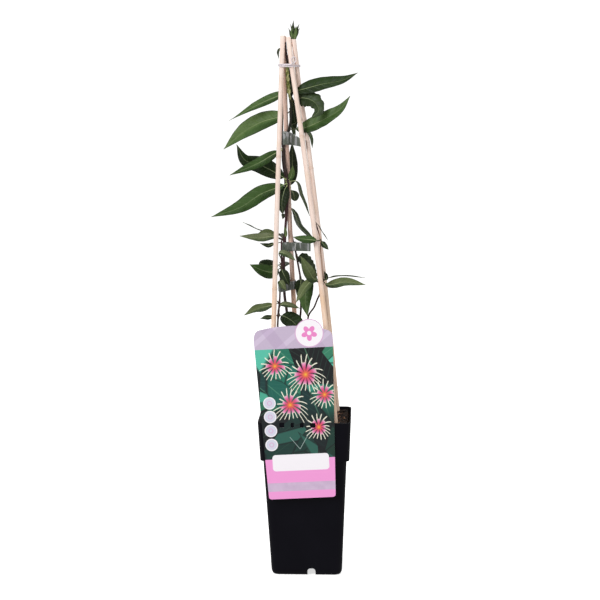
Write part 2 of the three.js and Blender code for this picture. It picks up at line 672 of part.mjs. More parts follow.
/** The coated wire round all four canes, its end bent up into a loop at the front. */
function wireTie() {
  const { radius, sides, turns, pitch, z, startAngle, loop } = WIRE;
  const stepsPerTurn = 20;
  const points = [];
  for (let k = 0; k <= turns * stepsPerTurn; k += 1) {
    const angle = startAngle - Math.PI / 2 + (2 * Math.PI * k) / stepsPerTurn;
    const height = z + (pitch * k) / stepsPerTurn;
    const rods = Object.keys(CANES).map((name) => caneRod(name, height));
    points.push([...wrapPoint(rods, angle, 1.4 * GAP + radius), height]);
  }
  const winding = bar(smooth(points), points.length + 4, sides, () => radius);
  const end = points.at(-1);
  const steps = loop.map(([x, y, up]) => [end[0] + x, end[1] + y, end[2] + up]);
  const knot = smooth([end, ...steps, points[stepsPerTurn]]);
  return join([winding, bar(knot, 20, sides, () => radius)]);
}

const TAPES = {
  upper: {
    z: 542.5,
    rods: (z) => [stemAt('main', z), caneRod('cane_back_left', z)],
    tail: [-1.5, 3.5],
    lean: -5.5,
  },
  middle: {
    z: 406,
    rods: (z) => [stemAt('back', z), stemAt('main', z), caneRod('cane_back_left', z)],
    tail: [6, 17],
    lean: 0,
  },
  lower: {
    z: 358,
    rods: (z) => [stemAt('left', z), stemAt('main', z), caneRod('cane_back_left', z)],
    tail: [-8, 19],
    lean: -5,
  },
};

/** Tape pulled round a cane and the stems beside it, its two ends stapled together in a tail. */
function tape(spec) {
  const { z, rods } = spec;
  const sides = 22;
  const clearance = 1.5 * GAP;
  const levels = [z - TAPE.height / 2, z, z + TAPE.height / 2];
  const wrap = (level, offset) => {
    const ring = [];
    for (let i = 0; i < sides; i += 1) {
      ring.push(V(...wrapPoint(rods(level), (2 * Math.PI * i) / sides, offset), level));
    }
    return ring;
  };
  const outer = loft(levels.map((level) => wrap(level, clearance + TAPE.thickness)));
  const bore = [levels[0] - 1, levels[1], levels[2] + 1].map((level) => wrap(level, clearance));
  return outer.add(sheetStrip(...tailEnds(spec))).subtract(loft(bore));
}

/** Where a tape's tail leaves the loop, and where it is cut off. */
function tailEnds({ z, rods, tail, lean }) {
  const [cx, cy] = rods(z).at(-1);
  const [dx, dy] = TAPE.tailFrom;
  return [V(cx + dx, cy + dy, z), V(...tail, z + lean)];
}

/** A flat upright strip of tape between two points. */
function sheetStrip(start, end) {
  const along = end.clone().sub(start);
  const length = along.length();
  const strip = new THREE.BoxGeometry(length, TAPE.tail, TAPE.height);
  strip.rotateY(-Math.asin(along.z / length));
  strip.rotateZ(Math.atan2(along.y, along.x));
  strip.translate(...start.clone().add(end).divideScalar(2).toArray());
  return solid(strip);
}

/** A wire staple whose crown lies on the front of the tail and whose legs pass through it. */
function staple(spec, grow = 0) {
  const { radius, height, foot } = STAPLE;
  const [start, end] = tailEnds(spec);
  const along = end.sub(start).normalize();
  const middle = start.addScaledVector(along, TAPE.stapleAt);
  const out = V(along.y, -along.x, 0).normalize();
  const turned = Math.atan2(along.y, along.x);
  const size = 2 * radius;
  const reach = TAPE.tail / 2 + GAP + radius;
  // a square rod, its middle so far out from the tail and so far up
  const rod = (depth, length, outward, upward) => {
    const stick = new THREE.BoxGeometry(size + 2 * grow, depth + 2 * grow, length + 2 * grow);
    stick.rotateZ(turned);
    const centre = middle.clone().addScaledVector(out, outward);
    return solid(stick.translate(centre.x, centre.y, centre.z + upward));
  };
  const crown = rod(size, height, reach, 0);
  const legs = [-1, 1].map((side) => rod(2 * reach + size, size, 0, (side * height) / 2));
  const feet = [-1, 1].map((side) => rod(size, foot + size, -reach, (side * (height - foot)) / 2));
  return join([crown, ...legs, ...feet]);
}

// ---------------------------------------------------------------- the label
/** The card's outline about the middle of its lower edge. */
function labelOutline() {
  const { bottomWidth, topLeft, topRight, side, leftEnd, rightEnd, crown } = LABEL;
  const { corner, footCorner } = LABEL;
  const low = bottomWidth / 2;
  const shape = new THREE.Shape();
  shape.moveTo(footCorner - low, 0);
  shape.lineTo(low - footCorner, 0);
  shape.quadraticCurveTo(low, 0, low, footCorner);
  shape.lineTo(topRight, side - corner);
  shape.quadraticCurveTo(topRight, side + rightEnd / 2, topRight - corner, side + rightEnd);
  shape.quadraticCurveTo(0, side + crown, corner - topLeft, side + leftEnd);
  shape.quadraticCurveTo(-topLeft, side + 0.8 * leftEnd, -topLeft, side - corner);
  shape.lineTo(-low, footCorner);
  shape.quadraticCurveTo(-low, 0, footCorner - low, 0);
  return shape;
}

/** The card hung in front of the collar, turned a little, its back just clear of the rim. */
function hang(geometry) {
  geometry.rotateX(Math.PI / 2);
  geometry.rotateY(THREE.MathUtils.degToRad(-LABEL.turn));
  return geometry.translate(LABEL.foot[0], -POT.rim / 2 - GAP, LABEL.foot[1]);
}

function labelCard() {
  const { thickness, disc, windows, windowHeight, tab } = LABEL;
  const sheetOptions = { depth: thickness, bevelEnabled: false, curveSegments: 8 };
  const card = solid(hang(new THREE.ExtrudeGeometry(labelOutline(), sheetOptions)));
  const badge = new THREE.CylinderGeometry(disc.radius, disc.radius, thickness, 32);
  badge.rotateX(Math.PI / 2).translate(disc.x, disc.z, thickness / 2);
  const tabBottom = POT.height + GAP;
  const tabs = windows.map(([x, width]) => hookTab(x, width - 0.8, tabBottom, tab));
  const cuts = windows.map(([x, width]) => {
    return box(width, 6, windowHeight, x, -POT.rim / 2, tabBottom - windowHeight / 2 - 0.1);
  });
  return join([cutAll(card.add(solid(hang(badge))), cuts), ...tabs]);
}

/** A tongue that leaves the back of the card, passes over the rim and drops inside the wall. */
function hookTab(x, width, bottom, { reach, drop }) {
  const front = -POT.rim / 2 - GAP - LABEL.thickness / 2;
  const back = -POT.rim / 2 + reach;
  const t = LABEL.thickness;
  const profile = new THREE.Shape();
  profile.moveTo(front, bottom);
  profile.lineTo(back - t, bottom);
  profile.lineTo(back - t, bottom - drop);
  profile.lineTo(back, bottom - drop);
  profile.lineTo(back, bottom + t);
  profile.lineTo(front, bottom + t);
  const tongue = new THREE.ExtrudeGeometry(profile, { depth: width, bevelEnabled: false });
  // the profile's own x and y are the world's y and z, and its depth runs along x
  tongue.applyMatrix4(new THREE.Matrix4().makeBasis(V(0, 1, 0), V(0, 0, 1), V(1, 0, 0)));
  return solid(tongue.translate(x - width / 2, 0, 0));
}

// ---------------------------------------------------------------- the object
const plant = new THREE.Group();

plant.add(piece('pot', pot(), COLOUR.pot, 0.5));

const caneNames = Object.keys(CANES);
const stemNames = Object.keys(STEMS);
const planted = [
  ...caneNames.map((name) => cane(name, GAP)),
  ...stemNames.map((name) => stem(name, GAP)),
];
plant.add(piece('soil', cutAll(soil(), planted), COLOUR.soil, 1));

for (const name of caneNames) {
  plant.add(piece(name, cane(name), COLOUR.cane, 0.7));
}
for (const name of stemNames) {
  plant.add(piece(`vine_${name}`, leafyStem(name), COLOUR.leaf, 0.5));
}

plant.add(piece('wire_tie', wireTie(), COLOUR.wire, 0.4));
for (const [name, spec] of Object.entries(TAPES)) {
  plant.add(piece(`tape_tie_${name}`, tape(spec).subtract(staple(spec, GAP)), COLOUR.tape, 0.35));
  plant.add(piece(`staple_${name}`, staple(spec), COLOUR.staple, 0.35, 1));
}

plant.add(piece('label_card', labelCard(), COLOUR.label, 0.35));

export default plant;
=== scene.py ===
# %% [markdown]
# # A young honeysuckle climber in its nursery pot
#
# The solids of this plant already stand in the scene at their true size: a tall square pot with its
# peat, four canes tied together at the top, four leafy stems, tape, wire, staples and a hang-on
# label. They are plain and have few faces. In this lesson each one gets the surface that the real
# thing has. The label keeps its solid, and all the others are replaced by finer pieces.

# %% Load the solids
import bisect
import math
import random

import bmesh
import bpy
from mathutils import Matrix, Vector, noise


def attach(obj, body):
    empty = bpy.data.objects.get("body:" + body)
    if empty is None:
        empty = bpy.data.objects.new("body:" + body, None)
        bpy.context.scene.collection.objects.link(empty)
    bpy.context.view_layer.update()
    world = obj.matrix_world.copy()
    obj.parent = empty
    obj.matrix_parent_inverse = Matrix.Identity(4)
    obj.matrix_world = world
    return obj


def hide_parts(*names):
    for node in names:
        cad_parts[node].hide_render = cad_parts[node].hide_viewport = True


MM = 0.001
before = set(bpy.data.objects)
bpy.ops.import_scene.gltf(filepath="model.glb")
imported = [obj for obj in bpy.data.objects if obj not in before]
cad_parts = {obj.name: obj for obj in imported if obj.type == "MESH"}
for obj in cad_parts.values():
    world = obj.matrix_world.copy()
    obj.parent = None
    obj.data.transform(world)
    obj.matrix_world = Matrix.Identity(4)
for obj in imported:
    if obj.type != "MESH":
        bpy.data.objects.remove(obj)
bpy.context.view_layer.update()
print("solids:", ", ".join(sorted(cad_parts)))

# %% [markdown]
# ## The camera
#
# A plant like this is looked at from a little above the middle, with a long lens, so that the pot
# and the tips of the canes keep their true proportions. The camera stands 2.2 m away, two degrees
# round to the right and seven degrees up, and is turned to a point in the middle of the plant.

# %% Camera
LOOK_AT = Vector((-0.0069, 0, 0.341))
CAMERA_DISTANCE = 2.2
CAMERA_AROUND = math.radians(2)
CAMERA_UP = math.radians(7)
LENS = 105.6
FAR_CLIP = 50

towards_camera = Vector((
    math.sin(CAMERA_AROUND) * math.cos(CAMERA_UP),
    -math.cos(CAMERA_AROUND) * math.cos(CAMERA_UP),
    math.sin(CAMERA_UP),
))
bpy.ops.object.camera_add(location=LOOK_AT + CAMERA_DISTANCE * towards_camera)
camera = bpy.context.object
camera.rotation_euler = towards_camera.to_track_quat("Z", "Y").to_euler()
camera.data.lens = LENS
camera.data.clip_end = FAR_CLIP
bpy.context.scene.camera = camera
print("camera at", [round(value, 3) for value in camera.location])

# %% [markdown]
# ## Light and floor
#
# The plant is dark and slim, and a white background shows its outline best. The world looks white
# to the camera but shines on the plant at under half that strength, so that one large soft lamp
# from the front left can model the leaves and canes with light and shade. A weaker one fills the
# right, one lies overhead, and one behind keeps the far side readable. The floor is one pale sheet
# that runs far past the view.

# %% Lamps: their places and sizes in metres, their power in watts
LAMPS = {
    "key_light": {"place": (-1.5, -1.8, 1.5), "size": 1.1, "power": 40},
    "fill_light": {"place": (1.7, -1.6, 0.9), "size": 1.4, "power": 12},
    "top_light": {"place": (0.1, 0.3, 2.3), "size": 1.2, "power": 13},
    "back_light": {"place": (0.9, 2.0, 1.2), "size": 1.4, "power": 12},
}


def soft_light(name, place, size, power):
    """A square lamp that faces the plant."""
    bpy.ops.object.light_add(type="AREA", location=place)
    lamp = bpy.context.object
    lamp.name = name
    lamp.rotation_euler = (Vector(place) - LOOK_AT).to_track_quat("Z", "Y").to_euler()
    lamp.data.size = size
    lamp.data.energy = power


for name, spec in LAMPS.items():
    soft_light(name, **spec)

# %% The pale room: white to the camera, dimmer to the plant
ROOM_LIGHT = 0.47
BACKGROUND = 1.1
FLOOR_SIZE = 30

world = bpy.data.worlds.new("pale_room")
bpy.context.scene.world = world
world.use_nodes = True
room = world.node_tree
seen = room.nodes["Background"]
seen.inputs["Color"].default_value = (1, 1, 1, 1)
seen.inputs["Strength"].default_value = BACKGROUND
shining = room.nodes.new("ShaderNodeBackground")
shining.inputs["Color"].default_value = (1, 1, 1, 1)
shining.inputs["Strength"].default_value = ROOM_LIGHT
either = room.nodes.new("ShaderNodeMixShader")
room.links.new(room.nodes.new("ShaderNodeLightPath").outputs["Is Camera Ray"], either.inputs[0])
room.links.new(shining.outputs[0], either.inputs[1])
room.links.new(seen.outputs[0], either.inputs[2])
room.links.new(either.outputs[0], room.nodes["World Output"].inputs["Surface"])
bpy.context.scene.view_settings.view_transform = "Standard"

bpy.ops.mesh.primitive_plane_add(size=FLOOR_SIZE)
floor = bpy.context.object
floor.name = "floor"
floor.visible_diffuse = False
floor.visible_glossy = False
print("floor:", floor.dimensions.x, "m across")

# %% [markdown]
# ## Shader maths as plain expressions
#
# A pattern such as leaf veins is a sum of a few formulas. Wired by hand, every plus and times is a
# Math node. The small class below wraps one socket, so that `1 - mask * 0.5` adds those nodes by
# itself. Colours are kept out of Math nodes, which would turn them grey: they go through Mix.

# %% Taps: sockets that can be added and multiplied
class Tap:
    """One output of a shader node. Arithmetic on it adds Math nodes."""

    def __init__(self, shader, socket):
        self.shader = shader
        self.socket = socket

    def math(self, operation, *values):
        return self.shader.node("Math", {"operation": operation}, dict(enumerate(values)))

    def __add__(self, other):
        return self.math("ADD", self, other)

    def __sub__(self, other):
        return self.math("SUBTRACT", self, other)

    def __rsub__(self, other):
        return self.math("SUBTRACT", other, self)

    def __mul__(self, other):
        return self.math("MULTIPLY", self, other)

    def __truediv__(self, other):
        return self.math("DIVIDE", self, other)

    def __abs__(self):
        return self.math("ABSOLUTE", self)

    __radd__ = __add__
    __rmul__ = __mul__

    def least(self, other):
        return self.math("MINIMUM", self, other)

    def most(self, other):
        return self.math("MAXIMUM", self, other)

    def root(self):
        return self.math("SQRT", self)

    def part(self):
        """What is left after the whole number."""
        return self.math("FRACT", self)

    def step(self, low, high):
        """Rises smoothly from 0 at low to 1 at high, or falls where low is the larger."""
        settings = {"interpolation_type": "SMOOTHSTEP"}
        return self.shader.node("MapRange", settings, {"Value": self, 1: low, 2: high})


# %% Shaders: one method for every node
def linear(red, green, blue):
    """A colour given as on a screen, from 0 to 255, in the linear values that shaders use."""
    def straight(value):
        share = value / 255
        return share / 12.92 if share <= 0.04045 else ((share + 0.055) / 1.055) ** 2.4

    return (straight(red), straight(green), straight(blue), 1)


class Shader:
    """A finish: a Principled surface and the nodes that feed it."""

    def __init__(self, name, plain):
        self.material = bpy.data.materials.new(name)
        self.material.use_nodes = True
        self.tree = self.material.node_tree
        self.surface = self.tree.nodes["Principled BSDF"]
        for socket, value in plain.items():
            self.feed(socket, value)

    def node(self, kind, settings=None, inputs=None, output=0):
        """Add a node: its settings first, then the values or links of its sockets."""
        made = self.tree.nodes.new("ShaderNode" + kind)
        for setting, value in (settings or {}).items():
            if setting == "stops":
                self.set_stops(made.color_ramp, value)
            else:
                setattr(made, setting, value)
        for socket, value in (inputs or {}).items():
            self.plug(made.inputs[socket], value)
        return Tap(self, made.outputs[output])

    def plug(self, socket, value):
        if isinstance(value, Tap):
            self.tree.links.new(value.socket, socket)
        else:
            socket.default_value = value

    def feed(self, socket, value):
        """Set or link a socket of the surface itself."""
        self.plug(self.surface.inputs[socket], value)

    @staticmethod
    def set_stops(ramp, stops):
        while len(ramp.elements) < len(stops):
            ramp.elements.new(1)
        for element, (position, colour) in zip(ramp.elements, stops):
            element.position = position
            element.color = colour

    def place(self):
        """Where a point of the surface is, in metres."""
        return self.node("TexCoord", output="Object")

    def axes(self, vector):
        """The three numbers of a vector, each as a tap of its own."""
        return [self.node("SeparateXYZ", None, {0: vector}, output=axis) for axis in "XYZ"]

    def stretched(self, vector, x, y, z):
        """A vector multiplied along each axis. Under 1 draws a pattern out."""
        settings = {"operation": "MULTIPLY"}
        return self.node("VectorMath", settings, {0: vector, 1: (x, y, z)})

    def noise(self, vector, scale, detail=2.0, roughness=0.5):
        inputs = {"Vector": vector, "Scale": scale, "Detail": detail, "Roughness": roughness}
        return self.node("TexNoise", None, inputs)

    def ramp(self, factor, *stops):
        return self.node("ValToRGB", {"stops": stops}, {"Fac": factor})

    def mix(self, factor, first, second, blend="MIX"):
        settings = {"data_type": "RGBA", "blend_type": blend}
        return self.node("Mix", settings, {0: factor, 6: first, 7: second}, output=2)

    def bump(self, height, distance):
        """Low relief. The distance is in metres, for a height of 1."""
        inputs = {"Height": height, "Distance": distance, "Strength": 1.0}
        self.feed("Normal", self.node("Bump", None, inputs))


print("shader helpers ready")

# %% [markdown]
# The floor is only there to carry the plant, so it is nearly white, dull, and glows a little by
# itself. That way it stays pale where the lamps don't reach.

# %% Floor finish
FLOOR_GLOW = 0.72

floor_paint = Shader("pale_floor", {"Roughness": 0.8, "Specular IOR Level": 0.0,
                                    "Emission Strength": FLOOR_GLOW})
mottle = floor_paint.noise(floor_paint.place(), 3)
floor_colour = floor_paint.mix(mottle, linear(243, 243, 243), linear(247, 247, 246))
floor_paint.feed("Base Color", floor_colour)
floor_paint.feed("Emission Color", floor_colour)
floor.data.materials.append(floor_paint.material)
print("floor finish:", floor_paint.material.name)

# %% [markdown]
# ## Working on one object at a time
#
# Operators act on whatever is selected, and the solids arrive selected. So every step starts by
# selecting one object alone. A finished piece sits at the origin with its place in its mesh, as the
# solids do, rides with the plant and hides the solids that it stands for.

# %% Helpers for pieces
def work_on(obj):
    """Leave edit mode and make this object the only one selected."""
    if bpy.context.mode != "OBJECT":
        bpy.ops.object.mode_set(mode="OBJECT")
    bpy.ops.object.select_all(action="DESELECT")
    obj.select_set(True)
    bpy.context.view_layer.objects.active = obj


def edit(obj):
    """Open an object in edit mode with everything selected."""
    work_on(obj)
    bpy.ops.object.mode_set(mode="EDIT")
    bpy.ops.mesh.select_all(action="SELECT")


def apply_modifier(obj, kind, **settings):
    """Give an object a modifier and make its result the mesh."""
    modifier = obj.modifiers.new(kind.lower(), kind)
    for setting, value in settings.items():
        setattr(modifier, setting, value)
    work_on(obj)
    bpy.ops.object.modifier_apply(modifier=modifier.name)


def keep(obj, name, values):
    """Store a number or a vector at each point of a mesh, for its finish to read."""
    if isinstance(values[0], float):
        attribute = obj.data.attributes.new(name, "FLOAT", "POINT")
        attribute.data.foreach_set("value", values)
    else:
        attribute = obj.data.attributes.new(name, "FLOAT_VECTOR", "POINT")
        attribute.data.foreach_set("vector", [number for value in values for number in value])


def join(name, objects):
    """Several objects made one, without joining their surfaces."""
    work_on(objects[0])
    for obj in objects[1:]:
        obj.select_set(True)
    bpy.ops.object.join()
    joined = bpy.context.object
    joined.name = name
    return joined


def finish_piece(obj, nodes, shaders=(), smooth=40):
    """Smooth a piece, give it its finish, and let it stand for the solids named."""
    work_on(obj)
    bpy.ops.object.transform_apply(location=True, rotation=True, scale=True)
    bpy.ops.object.shade_smooth_by_angle(angle=math.radians(smooth))
    for shader in shaders:
        obj.data.materials.append(shader.material)
    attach(obj, "root")
    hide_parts(*nodes)
    triangles = sum(len(polygon.vertices) - 2 for polygon in obj.data.polygons)
    print(f"{obj.name}: {triangles} triangles")


# %% [markdown]
# ## The pot
#
# A tall square pot is blown or moulded from thin black plastic. It widens upwards, has a deeper
# collar round its top, rounded corners, and a raised floor with drainage holes. It is grown here
# from its foot: a square with bevelled corners is extruded ring by ring up the outside, over the
# rim and down the inside, so the wall has its real thickness everywhere.

# %% Pot sizes: width, corner radius and height of each ring, in millimetres
POT_UNDERSIDE = (82.7, 6.5, 10.5)
POT_FOOT_TO_RIM = [
    (77.5, 4.6, 0.8),
    (77.7, 4.7, 0),
    (79.3, 5.8, 0),
    (80.1, 6, 0.3),
    (83.6, 6.6, 0.9),
    (85.7, 7, 2.4),
    (87.6, 7.6, 4.6),
    (88.4, 8, 7),
    (95.9, 8, 77),
    (103.4, 8, 146.6),
    (103.8, 8, 147),
    (109.7, 8, 147.1),
    (110.3, 8, 147.8),
    (115, 8, 194.6),
    (115.3, 8, 195.3),
    (114.8, 8, 196),
]
POT_RIM_TO_FLOOR = [
    (112.8, 6.6, 196),
    (112.3, 6.5, 195.5),
    (107.2, 6.5, 150.5),
    (100.4, 6.5, 148.5),
    (86, 6.5, 12.5),
]
POT_PAD = [(26, 1.5, 10.5), (26, 1.5, 0.6), (25, 1.2, 0)]
CORNER_STEPS = 7


def rounded_square(width, corner, z):
    """Points round a level square with rounded corners."""
    inner = width / 2 - corner
    ring = []
    for quarter in range(4):
        turn = math.radians(45 + 90 * quarter)
        x = math.copysign(inner, math.cos(turn))
        y = math.copysign(inner, math.sin(turn))
        for step in range(CORNER_STEPS + 1):
            angle = math.radians(90) * (quarter + step / CORNER_STEPS)
            ring.append(Vector((x + corner * math.cos(angle), y + corner * math.sin(angle), z)))
    return ring


def round_its_middle(items, place):
    """Items sorted by their direction from the middle of them all."""
    middle = sum((place(item) for item in items), Vector()) / len(items)
    return sorted(items, key=lambda i: math.atan2(place(i).y - middle.y, place(i).x - middle.x))


def lay_ring(points):
    """Lay the selected corner points on a ring of points given in millimetres."""
    obj = bpy.context.object
    mesh = bmesh.from_edit_mesh(obj.data)
    chosen = round_its_middle([v for v in mesh.verts if v.select], lambda v: v.co)
    for vertex, point in zip(chosen, round_its_middle(points, lambda p: p)):
        vertex.co = point * MM
    bmesh.update_edit_mesh(obj.data)


def grow(rings):
    """Extrude the selected face through rings of points, one after another."""
    for points in rings:
        bpy.ops.mesh.extrude_region_move()
        lay_ring(points)


def select_faces(obj, wanted):
    """In edit mode, select only the faces that pass a test."""
    bpy.ops.mesh.select_mode(type="FACE")
    bpy.ops.mesh.select_all(action="DESELECT")
    mesh = bmesh.from_edit_mesh(obj.data)
    mesh.normal_update()
    for face in mesh.faces:
        face.select_set(wanted(face))
    bmesh.update_edit_mesh(obj.data)


print("pot rings:", len(POT_FOOT_TO_RIM) + len(POT_RIM_TO_FLOOR))

# %% Grow the pot: foot, wall, collar, rim and inside
bpy.ops.object.select_all(action="DESELECT")
bpy.ops.mesh.primitive_plane_add(size=POT_UNDERSIDE[0] * MM)
pot = bpy.context.object
pot.name = "pot_shell"
edit(pot)
bpy.ops.mesh.bevel(offset=POT_UNDERSIDE[1] * MM, segments=CORNER_STEPS, affect="VERTICES")
bpy.ops.mesh.select_all(action="SELECT")
lay_ring(rounded_square(*POT_UNDERSIDE))
grow(rounded_square(*ring) for ring in POT_FOOT_TO_RIM + POT_RIM_TO_FLOOR)
bpy.ops.mesh.select_all(action="SELECT")
bpy.ops.mesh.normals_make_consistent(inside=False)
print("pot faces:", len(pot.data.polygons))

# %% The small square foot in the middle of its underside
def is_underside(face):
    """Tell the raised underside of the floor, which faces down, by its height."""
    from_underside = abs(face.calc_center_median().z - POT_UNDERSIDE[2] * MM)
    return from_underside < 1e-5 and face.normal.z < -0.9


select_faces(pot, is_underside)
grow(rounded_square(*ring) for ring in POT_PAD)
work_on(pot)
print("pot faces with its foot:", len(pot.data.polygons))

# %% [markdown]
# Water leaves through a round-topped notch low in each wall and four holes in the floor. They are
# cut with blocks that are taken away again, since a boolean cut leaves the wall's thickness as it
# was moulded. A narrow bevel then rounds the edges that the moulding would round.

# %% Drainage notches and holes
NOTCH = {"width": 10, "height": 9, "depth": 45, "round": 3.9, "offset": 6, "inner_end": 16}
HOLE = {"radius": 4, "offset": 22, "middle": 11.5, "depth": 8, "sides": 28}
MOULDED_EDGE = 0.35


def notch_cutter(quarter):
    """A block with its two upper edges rounded, standing through one wall."""
    bpy.ops.object.select_all(action="DESELECT")
    bpy.ops.mesh.primitive_cube_add(size=1)
    block = bpy.context.object
    block.dimensions = (NOTCH["width"] * MM, NOTCH["depth"] * MM, 2 * NOTCH["height"] * MM)
    block.location = (NOTCH["offset"] * MM, -(NOTCH["inner_end"] + NOTCH["depth"] / 2) * MM, 0)
    work_on(block)
    bpy.ops.object.transform_apply(location=True, scale=True)
    apply_modifier(block, "BEVEL", width=NOTCH["round"] * MM, segments=5)
    block.rotation_euler.z = quarter * math.pi / 2
    bpy.ops.object.transform_apply(rotation=True)
    return block


def hole_cutter(x, y):
    """A round block that stands through the floor."""
    bpy.ops.object.select_all(action="DESELECT")
    bpy.ops.mesh.primitive_cylinder_add(
        vertices=HOLE["sides"], radius=HOLE["radius"] * MM, depth=HOLE["depth"] * MM,
        location=(x * MM, y * MM, HOLE["middle"] * MM))
    return bpy.context.object


def cut(obj, cutter):
    """Take a block out of an object, and remove the block."""
    apply_modifier(obj, "BOOLEAN", object=cutter, operation="DIFFERENCE", solver="EXACT")
    bpy.data.objects.remove(cutter)


for quarter in range(4):
    cut(pot, notch_cutter(quarter))
for x in (-HOLE["offset"], HOLE["offset"]):
    for y in (-HOLE["offset"], HOLE["offset"]):
        cut(pot, hole_cutter(x, y))
apply_modifier(pot, "BEVEL", width=MOULDED_EDGE * MM, segments=2, limit_method="ANGLE",
               angle_limit=math.radians(50))
print("pot faces with its openings:", len(pot.data.polygons))

# %% The filled pot leans: its foot stands a little to the right of its rim
POT_HEIGHT = 196
POT_LEAN = 3


def lean(obj):
    """Push the lower points of an upright piece to the right."""
    for vertex in obj.data.vertices:
        vertex.co.x += POT_LEAN * MM * (1 - vertex.co.z / MM / POT_HEIGHT)


lean(pot)
print("the foot is", POT_LEAN, "mm off the rim's middle")

# %% [markdown]
# The plastic is coloured right through, so it has no paint to chip. What tells it from a black hole
# is a satin sheen with a faint orange-peel, and a few dried specks of peat and water low down.

# %% Pot finish
black_plastic = Shader("black_plastic", {"Specular IOR Level": 0.12})
spot = black_plastic.place()
height = black_plastic.axes(spot)[2]
cloud = black_plastic.noise(spot, 28, 4)
speck = black_plastic.noise(spot, 620, 2).step(0.71, 0.76)
splash = black_plastic.noise(spot, 60, 3).step(0.5, 0.66) * height.step(0.12, 0.0)
dust = (speck * (0.15 + splash)).least(1)
tint = black_plastic.mix(cloud, linear(4, 3, 10), linear(10, 9, 18))
black_plastic.feed("Base Color", black_plastic.mix(dust * 0.4, tint, linear(62, 57, 52)))
black_plastic.feed("Roughness", 0.36 + cloud * 0.16 + dust * 0.3)
black_plastic.bump(black_plastic.noise(spot, 900, 2) + dust * 2, 0.00006)
finish_piece(pot, ["pot"], [black_plastic], smooth=35)

# %% [markdown]
# ## The peat
#
# Peat is a loose mass of fibres and crumbs, a few millimetres below the rim and highest at the back
# right. Its top starts as a flat grid, drawn in to the pot's rounded square, and then each point is
# lifted by a mix of broad and fine noise. The walls below are extruded from the edge of the grid
# down to the pot's floor, because the filling is one solid body.

# %% Peat sizes, in millimetres
PEAT = {"top": 190, "edge": 185, "slope": 0.03, "width": 110.3, "corner": 6.1, "grid": 84}
PEAT_SINKS = {"from": 0.93, "over": 0.07}
PEAT_WAVES = {"broad": (1.3, 17), "crumbs": (1.1, 4.2), "grit": (0.5, 1.6)}
HEAP = {"height": 1.5, "ring": 4, "width": 3.5}
PEAT_WALL = [
    # width, corner, height
    (106.3, 6.1, 151.5),
    (99.5, 6.1, 149.4),
    (85.2, 6.1, 12.9),
]
CANE_FEET = [(-41, -41), (38, -41), (39.4, 40), (-8, 41)]


def rim_distance(x, y, half, corner):
    """How far the edge of a rounded square is from its middle, in a direction."""
    length = math.hypot(x, y) or 1
    dx, dy = abs(x) / length, abs(y) / length
    straight = half / max(dx, dy)
    inner = half - corner
    if straight * min(dx, dy) <= inner:
        return straight
    along = inner * (dx + dy)
    return along + math.sqrt(along * along - 2 * inner * inner + corner * corner)


def bell(distance, reach):
    """A smooth bump: 1 in its middle and fading out round its reach."""
    return math.exp(-((distance / reach) ** 2))


def peat_height(x, y):
    """The height of the peat at a place, in millimetres."""
    def wave(kind, shift=(0, 0, 0)):
        height, length = PEAT_WAVES[kind]
        return height * noise.noise(Vector((x, y, 0)) / length + Vector(shift))

    def heaped_round(foot):
        return HEAP["height"] * bell(math.dist((x, y), foot) - HEAP["ring"], HEAP["width"])

    sloping = PEAT["top"] + PEAT["slope"] * (x + y)
    heaped = sum(heaped_round(foot) for foot in CANE_FEET)
    return sloping + wave("broad") + wave("crumbs", (7, 3, 0)) + wave("grit") + heaped


print("the middle of the peat is", round(peat_height(0, 0), 1), "mm up")


# %% Lay the top of the peat and draw its walls down
bpy.ops.object.select_all(action="DESELECT")
bpy.ops.mesh.primitive_grid_add(x_subdivisions=PEAT["grid"], y_subdivisions=PEAT["grid"],
                                size=PEAT["width"] * MM)
peat = bpy.context.object
peat.name = "peat_filling"
half_width = PEAT["width"] / 2
for vertex in peat.data.vertices:
    x, y = vertex.co.x / MM, vertex.co.y / MM
    if x or y:
        square_edge = half_width * math.hypot(x, y) / max(abs(x), abs(y))
        draw_in = rim_distance(x, y, half_width, PEAT["corner"]) / square_edge
        x, y = x * draw_in, y * draw_in
    share = max(abs(x), abs(y)) / half_width
    sink = max(0, (share - PEAT_SINKS["from"]) / PEAT_SINKS["over"]) ** 2
    z = peat_height(x, y) * (1 - sink) + PEAT["edge"] * sink
    vertex.co = Vector((x, y, z)) * MM

edit(peat)
bpy.ops.mesh.select_all(action="DESELECT")
bpy.ops.mesh.select_mode(type="EDGE")
bpy.ops.mesh.select_non_manifold()
for width, corner, z in PEAT_WALL:
    bpy.ops.mesh.extrude_region_move()
    mesh = bmesh.from_edit_mesh(peat.data)
    for vertex in mesh.verts:
        if vertex.select:
            reach = rim_distance(vertex.co.x, vertex.co.y, width / 2, corner)
            scale = reach * MM / math.hypot(vertex.co.x, vertex.co.y)
            vertex.co = (vertex.co.x * scale, vertex.co.y * scale, z * MM)
    bmesh.update_edit_mesh(peat.data)
bpy.ops.mesh.edge_face_add()
bpy.ops.mesh.select_all(action="SELECT")
bpy.ops.mesh.normals_make_consistent(inside=False)
work_on(peat)
lean(peat)
print("peat top from", round(min(v.co.z for v in peat.data.vertices) / MM, 1), "mm up")

# %% [markdown]
# On top lie loose crumbs and chips of bark. Four of them are modelled from a ball whose points are
# pushed about, and then copied at random turns and sizes, each a little sunk in the surface.

# %% Model four crumbs
CRUMB_KINDS = 4
CRUMB_BUMPS = {"depth": 0.45, "fineness": 1.3}

chance = random.Random(12)


